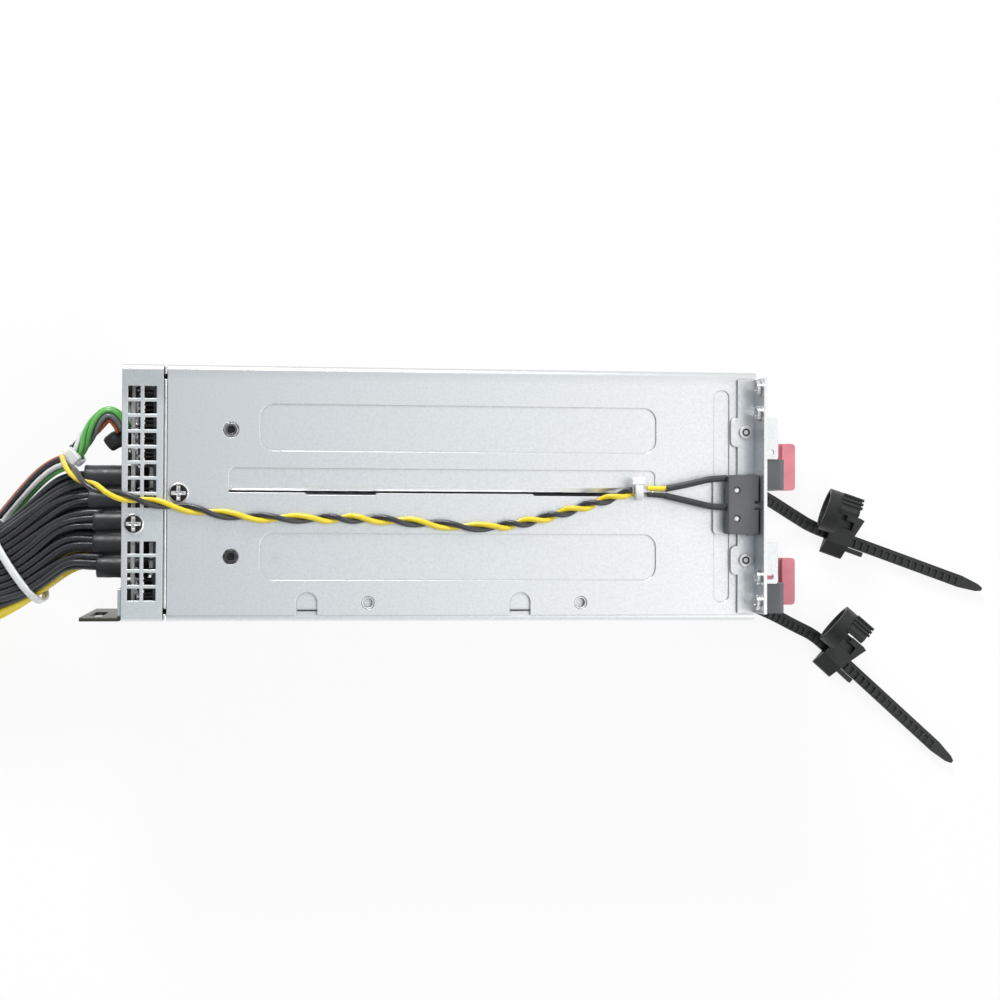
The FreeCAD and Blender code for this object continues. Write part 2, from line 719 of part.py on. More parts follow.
def case_cover(name, centre):
    """The module's lid, with short lips inside the tray's sides."""
    body = new_body(f"{name}_case_cover")
    skin = S["case_sheet"]
    high = centre + half_module
    low_in, high_in = module_far + skin, module_near - skin
    profile = [(high, low_in), (high, high_in), (high - 5.0, high_in), (high - 5.0, high_in - skin),
               (high - skin, high_in - skin), (high - skin, low_in + skin), (high - 5.0, low_in + skin),
               (high - 5.0, low_in)]
    add(body, "YZ", module_rear + skin, module_front - 1.0 - S["fan_depth"] - 1.0, polygon(profile))
    add(body, "YZ", module_front - 1.0 - S["fan_depth"] - 1.5, module_front - 1.0,
        rectangle(high - skin, low_in, high, high_in))
    return node(body)


fan_centre_z = module_near - S["case_sheet"] - 0.1 - S["fan_side"] / 2
inlet_z = module_far + 17.6
inlet_rise = size(8.3)
strap_exit_z = size(17.0)
strap_exit_rise = size(-14.2)
ear_z = width - 12.6
light_z = inlet_z + 16.6


def front_panel(name, centre):
    """The module's face: fan grille, inlet cut-out, latch notch and the handle's bent-out ear."""
    body = new_body(f"{name}_front_panel")
    panel = (module_front - 1.0, module_front)
    add(body, "YZ", panel[0], panel[1],
        rectangle(centre - half_module, module_far, centre + half_module, module_near))
    add(body, "XY", ear_z, ear_z + 1.0,
        rounded(panel[0], centre - 8.4, module_front + 11.5, centre + 5.8, 0.9))
    cut(body, "XY", ear_z - 0.5, ear_z + 1.5,
        rounded(module_front + 1.5, centre - 6.9, module_front + 10.0, centre - 5.1, 0.85))
    reach = (panel[0] - 0.5, panel[1] + 0.5)
    pitch = 4.6
    holes = []
    for ring_y in range(-3, 4):
        for ring_z in range(-4, 5):
            dy = ring_y * pitch * math.sqrt(3) / 2
            dz = (ring_z + 0.5 * (ring_y % 2)) * pitch
            inside_ear = abs(dz + float(fan_centre_z) - float(ear_z)) < 4.2 and -11.5 < dy < 9.0
            if 9.0 < math.hypot(dy, dz) < 15.4 and not inside_ear:
                holes.append(circle(centre + dy, fan_centre_z + dz, 1.9))
    cut(body, "YZ", reach[0], reach[1], *holes)
    cut(body, "YZ", reach[0], reach[1],
        rectangle(centre + inlet_rise - 10.1, inlet_z - 14.1, centre + inlet_rise + 10.1, inlet_z + 14.1),
        circle(centre - 4.0, light_z, 1.25))
    cut(body, "YZ", reach[0], reach[1],
        rectangle(centre - 18.0, module_far + 0.0, centre - 2.6, module_far + 8.4),
        circle(centre + strap_exit_rise, strap_exit_z, 1.6))
    return node(body)


def fan(name, centre):
    """The fan's square frame and its seven-bladed rotor, on a shaft along X."""
    frame = new_body(f"{name}_fan_frame")
    half = S["fan_side"] / 2
    depth = S["fan_depth"]
    add(frame, "YZ", size(0.0), depth, rounded(-half, -half, half, half, 2.5))
    bore = half - 0.9
    cut(frame, "YZ", size(3.0), depth + 1.0, circle(size(0.0), size(0.0), bore))
    cut(frame, "YZ", size(-1.0), depth, circle(size(0.0), size(0.0), bore))
    spider = size(2.4)
    add(frame, "YZ", size(0.0), spider, circle(size(0.0), size(0.0), S["fan_hub"] / 2))
    add(frame, "YZ", size(0.0), spider, rectangle(-half + 0.4, size(-1.4), half - 0.4, size(1.4)))
    add(frame, "YZ", size(0.0), spider, rectangle(size(-1.4), -half + 0.4, size(1.4), half - 0.4))
    add(frame, "YZ", size(2.0), depth - 5.0, circle(size(0.0), size(0.0), S["fan_shaft"] / 2))
    rotor = new_body(f"{name}_fan_rotor")
    hub = S["fan_hub"] / 2
    add(rotor, "YZ", spider + 0.4, depth - 1.2, circle(size(0.0), size(0.0), hub))
    blade = add(rotor, "XY", hub - 0.6, half - 1.2,
                polygon([(size(4.0), size(-5.0)), (size(5.4), size(-5.4)), (depth - 2.2, size(4.6)),
                         (depth - 3.4, size(5.2))]))
    blades = rotor.newObject("PartDesign::PolarPattern", f"{name}_fan_blades")
    blades.Originals = [blade]
    shaft_line = [f for f in rotor.Origin.OriginFeatures if f.Role == "X_Axis"][0]
    blades.Axis = (shaft_line, [""])
    blades.Angle = 360
    blades.Occurrences = 7
    rotor.Tip = blades
    cut(rotor, "YZ", size(0.0), depth, circle(size(0.0), size(0.0), half * 2),
        circle(size(0.0), size(0.0), bore - 0.7))
    cut(rotor, "YZ", size(0.0), depth - 4.6, circle(size(0.0), size(0.0), S["fan_shaft"] / 2 + S["running_gap"]))
    for piece in (frame, rotor):
        put(piece, module_front - 1.5 - depth, centre, fan_centre_z)
        node(piece)


def inlet(name, centre):
    """The mains inlet: a snap-in housing with a chamfered cavity and three pins."""
    body = new_body(f"{name}_mains_inlet")
    y, z = centre + inlet_rise, inlet_z
    deep = module_front + 1.6 - S["inlet_depth"]
    add(body, "YZ", deep - 3.0, module_front + 1.6, rectangle(y - 10.0, z - 14.0, y + 10.0, z + 14.0))
    add(body, "YZ", module_front, module_front + 1.6, rounded(y - 10.6, z - 15.4, y + 10.6, z + 15.4, 1.5))
    high, half = S["inlet_height"] / 2, S["inlet_width"] / 2
    cavity = [(y - high, z - half), (y + high - 4.0, z - half), (y + high, z - half + 4.0),
              (y + high, z + half - 4.0), (y + high - 4.0, z + half), (y - high, z + half)]
    cut(body, "YZ", deep, module_front + 2.0, polygon(cavity))
    node(body)
    pins = []
    for i, (rise, across) in enumerate(((-2.0, -7.0), (2.0, 0.0), (-2.0, 7.0))):
        pins.append(box(f"{name}_pin_{i}", deep - 5.0, module_front - 2.0, y + rise - 2.0, y + rise + 2.0,
                        z + across - 1.0, z + across + 1.0))
    node(group(f"{name}_inlet_pins", pins))


def electronics(name, centre):
    """The main board with its edge contacts, and the power parts that stand on it."""
    body = new_body(f"{name}_main_board")
    half = S["board_thickness"] / 2
    card = centre + card_level
    inner_far, inner_near = module_far + S["case_sheet"] + 1.0, module_near - S["case_sheet"] - 1.0
    end = module_front - 1.5 - S["fan_depth"] - 4.0
    start = module_rear + 1.5
    tip = module_rear - S["tongue_length"]
    add(body, "XZ", card - half, card + half,
        polygon([(start, inner_far), (end, inner_far), (end, inner_near), (start, inner_near), (start, tongue_high),
                 (tip, tongue_high), (tip, tongue_low), (start, tongue_low)]))
    node(body)
    floor = card + half
    parts = []
    x = module_rear
    parts.append(box(f"{name}_transformer", x + 62.0, x + 92.0, floor, floor + 21.5, size(24.0), size(54.0)))
    parts.append(box(f"{name}_choke", x + 106.0, x + 124.0, floor, floor + 18.0, size(44.0), size(64.0)))
    parts.append(rod(f"{name}_bulk_capacitor", "X", x + 100.0, floor + 11.5, size(24.0), 11.4, 40.0))
    for i in range(6):
        parts.append(box(f"{name}_sink_fin_{i}", x + 14.0, x + 54.0, floor + 3.0, floor + 21.0,
                         size(12.0 + 9.0 * i), size(13.4 + 9.0 * i)))
    bars = [box(f"{name}_sink_base", x + 14.0, x + 54.0, floor, floor + 3.2, size(12.0), size(58.4))]
    sink = fuse(f"{name}_heat_sink", bars + parts[3:])
    node(group(f"{name}_power_parts", parts[:3] + [sink]))


def handle(name, centre):
    """The moulded pull handle: two posts and a bar that leans outwards, open behind for fingers."""
    body = new_body(f"{name}_handle")
    start = module_front
    near_end, far_end = ear_z, size(30.0)
    reach, bar = S["handle_reach"], S["handle_bar"]
    post = size(7.5)
    outline = [(start, near_end), (start + 12.6, near_end), (start + 14.4, near_end - 2.0),
               (start + reach, near_end - 16.0), (start + reach, far_end + 3.0), (start + reach - 3.0, far_end),
               (start, far_end), (start, far_end + 5.5), (start + reach - bar, far_end + 5.5),
               (start + reach - bar, near_end - 14.0), (start + 14.4 - bar, near_end - post),
               (start, near_end - post)]
    low = centre - 18.7
    add(body, "XZ", low, low + S["handle_height"], polygon(outline))
    round_edges(body, 1.2, lambda a, b: near(a.x, b.x) and near(a.z, b.z) and float(start) + 13.0 < a.x
                and (near(a.x, start + 14.4) or near(a.x, start + reach)))
    return node(body)


latch_pivot_x = front - 24.0
latch_far = module_far + S["case_sheet"] + 0.7


def latch(name, centre):
    """The coloured release lever: eye, shank with its catch, and the thumb tab; and its pin."""
    body = new_body(f"{name}_latch")
    low, high = latch_far, latch_far + S["latch_sheet"]
    tab_end = front + S["latch_reach"] - 1.0
    y = centre
    add(body, "XY", low, high,
        polygon([(latch_pivot_x, y - 13.0), (front + 5.0, y - 13.0), (front + 12.0, y - 17.9),
                 (tab_end, y - 17.9), (tab_end, y - 0.3), (tab_end - 6.6, y - 0.3), (tab_end - 5.6, y - 7.0),
                 (front + 5.0, y - 7.0), (latch_pivot_x, y - 7.0)]))
    add(body, "XY", low, high + 2.0,
        rounded(tab_end - 5.0, y - 17.9, tab_end, y - 0.3, 1.4))
    add(body, "XZ", y - 13.0, y - 7.0, circle(latch_pivot_x, latch_far + 1.6, 2.0))
    cut(body, "XZ", y - 14.0, y - 6.0, circle(latch_pivot_x, latch_far + 1.6, 1.0 + S["running_gap"]))
    catch = y + catch_middle
    add(body, "XY", size(0.4), low + 0.5,
        rectangle(front - 16.5, catch - S["catch_width"] / 2, front - 12.5, catch + S["catch_width"] / 2))
    round_edges(body, 1.2, lambda a, b: near(a.x, tab_end) and near(b.x, tab_end) and near(a.y, b.y)
                and not near(a.z, b.z))
    node(body)
    skin = S["case_sheet"]
    node(rod(f"{name}_latch_pin", "Y", latch_pivot_x, centre - half_module + skin, latch_far + 1.6, 1.0, 16.0))


STRAPS = {
    "upper": [(0.0, 0.0), (11.0, -2.2), (22.5, -7.6), (33.0, -12.8), (41.5, -17.4), (108.7, -41.1)],
    "lower": [(0.0, 0.0), (11.0, -2.0), (23.5, -7.0), (34.5, -12.0), (42.6, -15.6), (97.0, -64.2)],
}
STRAP_DROPS = (0.0, 0.4, -4.5, -11.8)


def strap_points(name):
    """The strap's centreline, from the panel down to the floor and out to its tip."""
    centre = {"upper": upper_centre, "lower": lower_centre}[name]
    x, y, z = float(module_front) + 1.0, float(centre + strap_exit_rise), float(strap_exit_z)
    floor = float(S["strap_floor"])
    heights = [z + drop for drop in STRAP_DROPS] + [floor, floor]
    return [(x + dx, y + dy, height) for (dx, dy), height in zip(STRAPS[name], heights)]


def level_frame(along):
    """A turn that takes +X to a direction and keeps +Y level."""
    along = Vector(*along).normalize()
    across = Vector(0, 0, 1).cross(along).normalize()
    return Rotation(along, across, along.cross(across), "XZY")


def strap_teeth(wire):
    """Pockets between the rungs of the strap's upper face, one tooth pitch apart."""
    pitch, depth = float(S["tooth_pitch"]), float(S["tooth_depth"])
    count = int(wire.Length / pitch)
    stations = wire.discretize(Number=count + 1)
    surface = float(S["strap_sheet"]) / 2
    pockets = []
    for before, here, after in zip(stations[2:-5], stations[3:-4], stations[4:-3]):
        pocket = Part.makeBox(pitch * 0.6, float(S["strap_width"]) * 0.58, depth + 1.0,
                              Vector(-pitch * 0.3, -float(S["strap_width"]) * 0.4, surface - depth))
        pocket.Placement = Placement(here, level_frame(after - before))
        pockets.append(pocket)
    return pockets


def strap_taper():
    """What is taken off either side of the strap's tip, which ends at the origin and points to +X."""
    half = float(S["strap_width"]) / 2
    sides = []
    for way in (1, -1):
        outline = [(-9.0, half), (-2.0, half * 0.62), (-0.5, half * 0.35), (1.0, half * 0.1), (1.0, half * 2),
                   (-9.0, half * 2)]
        corners = [Vector(a, b * way, -3.0) for a, b in outline]
        face = Part.Face(Part.makePolygon(corners + corners[:1]))
        sides.append(face.extrude(Vector(0, 0, 6.0)))
    return sides


def strap(name, centre):
    """The power cord retention strap, a toothed band with a tapered tip and a push-in anchor."""
    points = strap_points(name)
    wire = cord_path(points, f"{name}_strap")
    direction = (Vector(*points[1]) - Vector(*points[0])).normalize()
    across = Vector(0, 0, 1).cross(direction).normalize() * (float(S["strap_width"]) / 2)
    up = direction.cross(across).normalize() * (float(S["strap_sheet"]) / 2)
    start = Vector(*points[0])
    corners = [start + across + up, start - across + up, start - across - up, start + across - up]
    profile = Part.makePolygon(corners + corners[:1])
    sweep = Part.BRepOffsetAPI.MakePipeShell(wire)
    sweep.setBiNormalMode(Vector(0, 0, 1))
    sweep.add(profile)
    sweep.build()
    sweep.makeSolid()
    band = sweep.shape()
    trims = strap_taper()
    for trim in trims:
        trim.Placement = Placement(Vector(*points[-1]), level_frame(Vector(*points[-1]) - Vector(*points[-2])))
    band = band.cut(trims + strap_teeth(wire))
    panel = float(module_front)
    y, z = float(centre + strap_exit_rise), float(strap_exit_z)
    collar = Part.makeCylinder(3.2, 2.4, Vector(panel, y, z), Vector(1, 0, 0))
    stem = Part.makeCylinder(1.5, 4.2, Vector(panel - 4.0, y, z), Vector(1, 0, 0))
    barb = Part.makeCone(1.0, 1.5, 2.0, Vector(panel - 6.0, y, z), Vector(1, 0, 0))
    return node(feature(f"{name}_strap", band.fuse([collar, stem, barb]).removeSplitter()))


CLAMP_OFFSETS = {"upper": 10.8, "lower": 11.0}


def prism(outline, low, high):
    """An upright prism over an outline of plan points."""
    corners = [Vector(a, b, low) for a, b in outline]
    return Part.Face(Part.makePolygon(corners + corners[:1])).extrude(Vector(0, 0, high - low))


def clamp_loop(radius, band, sheet_, hub_v, hub_w, lean):
    """The cord loop with its ribbed thumb tab, leaning back over the strap's root, and its bore."""
    start = -9.3
    ring = Part.makeCylinder(radius, band, Vector(start, hub_v, hub_w), Vector(1, 0, 0))
    tab = Part.makeBox(7.2, 8.4, 2.4, Vector(start + 4.7, -5.4, radius - 1.9))
    ribs = [Part.makeBox(7.8, 0.9, 0.7, Vector(start + 4.7, -2.6 + 2.1 * i, radius + 0.3)) for i in range(3)]
    for piece in [tab] + ribs:
        piece.rotate(Vector(), Vector(1, 0, 0), -38)
        piece.translate(Vector(0, hub_v, hub_w))
    bore = Part.makeCylinder(radius - sheet_, band + 8.0, Vector(start - 4.0, hub_v, hub_w), Vector(1, 0, 0))
    loop = ring.fuse([tab] + ribs)
    for piece in (loop, bore):
        piece.rotate(Vector(start + band, hub_v, 0), Vector(0, 1, 0), -lean)
    return loop, bore


def strap_clamp(name):
    """The clamp on the strap: a saddle with a channel, a release pocket, a wing, a lug and the cord loop."""
    points = strap_points(name)
    begin, end = Vector(*points[-2]), Vector(*points[-1])
    along = (end - begin).normalize()
    centre = begin + along * CLAMP_OFFSETS[name]
    floor = float(S["strap_floor"])
    half = float(S["clamp_length"]) / 2
    wide, thick = float(S["strap_width"]), float(S["strap_sheet"])
    gap = float(S["slide_gap"])
    low, roof = 0.3 - floor, 5.0 - floor
    saddle = prism([(-half, -2.8), (half, -2.8), (half + 0.8, 0.5), (half + 3.0, 8.8), (half + 1.4, 9.2),
                    (-half - 0.4, 8.8)], low, roof)
    skirt_side = [(-2.8, low), (-7.6, low), (-7.2, low + 1.0), (-2.8, roof)]
    skirt_corners = [Vector(-half, v, w) for v, w in skirt_side]
    skirt = Part.Face(Part.makePolygon(skirt_corners + skirt_corners[:1])).extrude(Vector(2 * half, 0, 0))
    lug = Part.makeBox(7.4, 1.7, 2.2, Vector(half - 0.5, -wide / 2 - gap - 1.7, low + 0.6))
    radius = float(S["loop_radius"])
    loop, bore = clamp_loop(radius, float(S["loop_band"]), float(S["loop_sheet"]), 7.6, radius + 1.5 - floor, 8.0)
    solid = saddle.fuse([skirt, lug, loop])
    channel = Part.makeBox(40.0, wide + 2 * gap, thick + 2 * gap,
                           Vector(-20.0, -wide / 2 - gap, -thick / 2 - gap))
    pocket = Part.makeBox(7.6, 3.2, 3.0, Vector(-half + 0.5, 3.5, roof - 1.9))
    under_wing = Part.makeBox(6.0, 6.0, 3.0, Vector(half + 0.2, 4.0, low - 0.1))
    solid = solid.cut([bore, channel, pocket, under_wing]).removeSplitter()
    return node(feature(f"{name}_strap_clamp", solid, Placement(centre, level_frame(along))))


def module(name, centre):
    """One hot swap module."""
    case_tray(name, centre)
    case_cover(name, centre)
    front_panel(name, centre)
    fan(name, centre)
    inlet(name, centre)
    electronics(name, centre)
    handle(name, centre)
    latch(name, centre)
    strap(name, centre)
    strap_clamp(name)
    node(rod(f"{name}_status_light", "X", module_front - 3.0, centre - 4.0, light_z, 1.2, 4.0))


# Routes of the cords, chosen by hand
TRUNK = [(-118.2, -9.0, 44.0), (-137, -18.6, 40.5), (-156, -31.5, 30.5), (-181, -46.5, 19.5), (-213, -59, 15.3),
         (-250, -66.5, 14.8), (-287, -66, 14.9)]
MAIN = [(-287, -73.8, 12), (-316, -75, 7), (-350, -60, 5.8), (-364, -24, 5.8), (-344, 10, 5.8), (-306, 24, 5.8),
        (-270, 25, 5.8)]
PROCESSOR = [(-287, -63.8, 12), (-308, -63, 6), (-332, -48, 4.3), (-336, -20, 4.3), (-316, -1, 4.3),
             (-290, 2, 4.3)]
DRIVE = [(-287, -55.5, 12), (-303, -54, 6), (-316, -42, 3.6), (-314, -25, 3.6), (-298, -18, 3.6), (-281, -20, 3.6)]
SIGNAL = [(-107.0, 21.6, 52), (-115.5, 17.4, 52), (-126, 10.5, 50), (-139, 1.5, 41), (-153, -8, 25), (-167, -12, 10),
          (-185, -7, 3.4), (-202, 8, 3.2), (-208, 30, 3.2), (-198, 50, 3.2), (-179, 61, 3.2)]
TWISTED = [(62.4, 1.4, 81.4), (53, -1.7, 80.5), (41, -5.4, 80.4), (26, -9.6, 80.4), (10, -11.2, 80.4),
           (-8, -9.4, 80.4), (-28, -8.0, 80.4), (-50, -8.3, 80.4), (-70, -7.6, 80.4), (-86, -4.9, 80.4),
           (-98, -2.9, 80.6), (-109.5, -0.6, 80.5), (-118.5, 3.4, 75.5), (-124, 8.2, 66), (-127, 11.6, 54.5)]
LEADS = [[(94.0, 6.0, 83.2), (88.5, 5.7, 83.0), (81.0, 3.8, 82.3), (73.4, 2.3, 81.7), (67.3, 2.5, 81.6)],
         [(94.0, -3.8, 83.2), (88.5, -3.5, 83.0), (81.0, -1.7, 82.3), (73.4, 0.0, 81.6), (67.3, 0.4, 81.5)]]


def cords():
    """The output harness, its branches, and the switch's leads."""
    for label, route, diameter in (("harness_trunk", TRUNK, "trunk_diameter"), ("main_cable", MAIN, "main_diameter"),
                                   ("processor_cable", PROCESSOR, "processor_diameter"),
                                   ("drive_cable", DRIVE, "drive_diameter"),
                                   ("signal_cable", SIGNAL, "signal_diameter"),
                                   ("twisted_lead", TWISTED, "twisted_diameter")):
        node(feature(label, tube(route, float(S[diameter]), label)))
    left = float(switch_left)
    leads = []
    for i, route in enumerate(LEADS):
        start = (left - 0.2, route[0][1], float(button_z))
        wire = tube([start] + route[1:], float(S["lead_diameter"]), f"switch_lead_{i}")
        sleeve = tube([start] + route[1:4], float(S["lead_sleeve_diameter"]), f"switch_sleeve_{i}")
        leads.append(wire.fuse(sleeve).removeSplitter())
    node(feature("switch_leads", Part.makeCompound(leads)))


def tie_ring(centre, direction, radius, band, sheet_=1.0):
    """A cable tie pulled round a bundle: a band and its square head."""
    axis = Vector(*direction).normalize()
    base = Vector(*centre) - axis * (band / 2)
    ring = Part.makeCylinder(radius + sheet_, band, base, axis)
    ring = ring.cut(Part.makeCylinder(radius, band + 2, base - axis, axis))
    head = Part.makeBox(band + 1.6, band + 1.0, 3.4, Vector(-(band + 1.6) / 2, -(band + 1.0) / 2, radius + 0.2))
    spin = Rotation(Vector(1, 0, 0), axis)
    head.Placement = Placement(Vector(*centre), spin)
    return ring.fuse(head).removeSplitter()


def ties():
    """Small ties on the leads and large ties on the harness."""
    small = [tie_ring((64.6, 1.8, 81.9), (1, 0.3, 0.1), 2.6, 2.4, 0.8),
             tie_ring((-125.3, 11.0, 51.9), (-12, -7.5, -3), 4.7, 2.4, 0.8)]
    node(feature("lead_ties", Part.makeCompound(small)))
    half = float(S["trunk_diameter"]) / 2
    large = [tie_ring((-141, -21.3, 38.4), (-19, -12.9, -10), half, 2.8, 1.3),
             tie_ring((-282.0, -66, 14.8), (-1, 0, 0), half, 4.8, 1.3)]
    large[1] = large[1].common(Part.makeBox(400, 400, 100, Vector(-400, -200, 0.1)))
    node(feature("harness_ties", Part.makeCompound(large)))


def connector(label, tip, wide, tall, columns, rows, pitch, cell):
    """A wire housing that faces +X, with its rows of contact cavities; tip is where its cable ends."""
    x, y, z = tip
    length = 19.0
    block = Part.makeBox(length, wide, tall, Vector(x, y - wide / 2, 0.3))
    cavities = []
    for column in range(columns):
        for line in range(rows):
            cy = y + (column - (columns - 1) / 2) * pitch
            cz = 0.3 + tall / 2 + (line - (rows - 1) / 2) * pitch
            cavities.append(Part.makeBox(9.0, cell, cell, Vector(x + length - 8.0, cy - cell / 2, cz - cell / 2)))
    ridge = Part.makeBox(9.0, min(6.0, wide / 3), 1.6, Vector(x + 6.0, y - min(6.0, wide / 3) / 2, 0.2 + tall))
    return node(feature(label, block.fuse(ridge).cut(cavities).removeSplitter()))


def connectors():
    connector("main_connector", MAIN[-1], 51.6, 11.6, 12, 2, 4.2, 3.2)
    connector("processor_connector", PROCESSOR[-1], 17.6, 11.6, 4, 2, 4.2, 3.2)
    connector("drive_connector", DRIVE[-1], 21.0, 8.0, 4, 1, 5.0, 3.4)
    x, y, z = SIGNAL[-1]
    block = Part.makeBox(15.0, 13.0, 5.8, Vector(0, -6.5, 0.3))
    cavities = [Part.makeBox(7.0, 1.2, 1.2, Vector(9.0, -5.8 + 2.54 * i, 2.6)) for i in range(5)]
    heading = Vector(x - SIGNAL[-2][0], y - SIGNAL[-2][1], 0)
    where = Placement(Vector(x, y, 0), Rotation(Vector(1, 0, 0), heading))
    node(feature("signal_connector", block.cut(cavities), where))


cage_shell()
cage_base_plate()
rear_cover()
rear_foot_bracket()
front_flange_bracket()
small_fasteners()
distribution()
cable_sleeves()
switch()
cords()
ties()
connectors()
for name, centre in MODULES:
    module(name, centre)
doc.recompute()

# Checks, then one file for each sub-part
faults = []
for piece in doc.Objects:
    if "Invalid" in piece.State or "Error" in piece.State:
        faults.append(f"{piece.Label}: {piece.State}")
for piece in nodes:
    if piece.Shape.isNull() or not piece.Shape.isValid() or not piece.Shape.Solids:
        faults.append(f"{piece.Label}: bad shape")
if len(nodes) > 60 or len({piece.Label for piece in nodes}) != len(nodes):
    faults.append(f"{len(nodes)} sub-parts")
if faults:
    raise RuntimeError("; ".join(faults))
for piece in nodes:
    piece.Shape.exportStep(f"parts/{piece.Label}.step")
print(len(nodes), "sub-parts written")
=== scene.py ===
import math
import random

import bmesh
import bpy
from mathutils import Matrix, Vector


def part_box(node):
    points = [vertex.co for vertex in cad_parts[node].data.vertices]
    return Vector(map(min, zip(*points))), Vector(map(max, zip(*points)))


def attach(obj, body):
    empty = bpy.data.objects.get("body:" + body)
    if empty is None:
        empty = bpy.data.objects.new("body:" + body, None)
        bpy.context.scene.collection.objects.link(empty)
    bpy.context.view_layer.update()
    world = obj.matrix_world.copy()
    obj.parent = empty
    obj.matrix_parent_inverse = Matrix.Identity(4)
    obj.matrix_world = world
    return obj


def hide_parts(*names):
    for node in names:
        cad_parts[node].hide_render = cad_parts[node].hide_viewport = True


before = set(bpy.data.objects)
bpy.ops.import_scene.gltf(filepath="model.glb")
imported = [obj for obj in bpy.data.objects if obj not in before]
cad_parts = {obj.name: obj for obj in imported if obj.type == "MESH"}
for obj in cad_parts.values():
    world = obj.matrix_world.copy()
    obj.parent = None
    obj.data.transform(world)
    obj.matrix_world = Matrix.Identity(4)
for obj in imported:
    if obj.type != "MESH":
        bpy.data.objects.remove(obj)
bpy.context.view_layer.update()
MM = 0.001
UNTURNED = Matrix.Identity(3)


def link(obj):
    bpy.context.scene.collection.objects.link(obj)
    return obj


# Camera at the photograph's viewpoint
CAMERA_PLACE = (-0.06512, -0.01162, 0.72098)
CAMERA_TURN = (0.846, -7.381, 0.232)


def add_camera():
    data = bpy.data.cameras.new("photo_camera")
    data.lens = 70
    data.sensor_fit = "HORIZONTAL"
    data.sensor_width = 36
    data.clip_start = 0.01
    data.clip_end = 60
    camera = bpy.data.objects.new("photo_camera", data)
    camera.location = CAMERA_PLACE
    camera.rotation_euler = [math.radians(a) for a in CAMERA_TURN]
    bpy.context.scene.camera = link(camera)


add_camera()


# Materials
def new_material(name, colour, metallic=0.0, roughness=0.5, coat=0.0, specular=0.5):
    """A principled material and the shader at its heart."""
    material = bpy.data.materials.new(name)
    material.use_nodes = True
    shader = material.node_tree.nodes["Principled BSDF"]
    shader.inputs["Base Color"].default_value = (*colour, 1)
    shader.inputs["Metallic"].default_value = metallic
    shader.inputs["Roughness"].default_value = roughness
    shader.inputs["Coat Weight"].default_value = coat
    shader.inputs["Specular IOR Level"].default_value = specular
    return material, shader


def shade(colour, factor):
    """The colour made darker or lighter."""
    return tuple(min(1.0, c * factor) for c in colour)


# colour of the painted shade in corners and crevices
CREVICE_SHADE = (0.02, 0.022, 0.025)


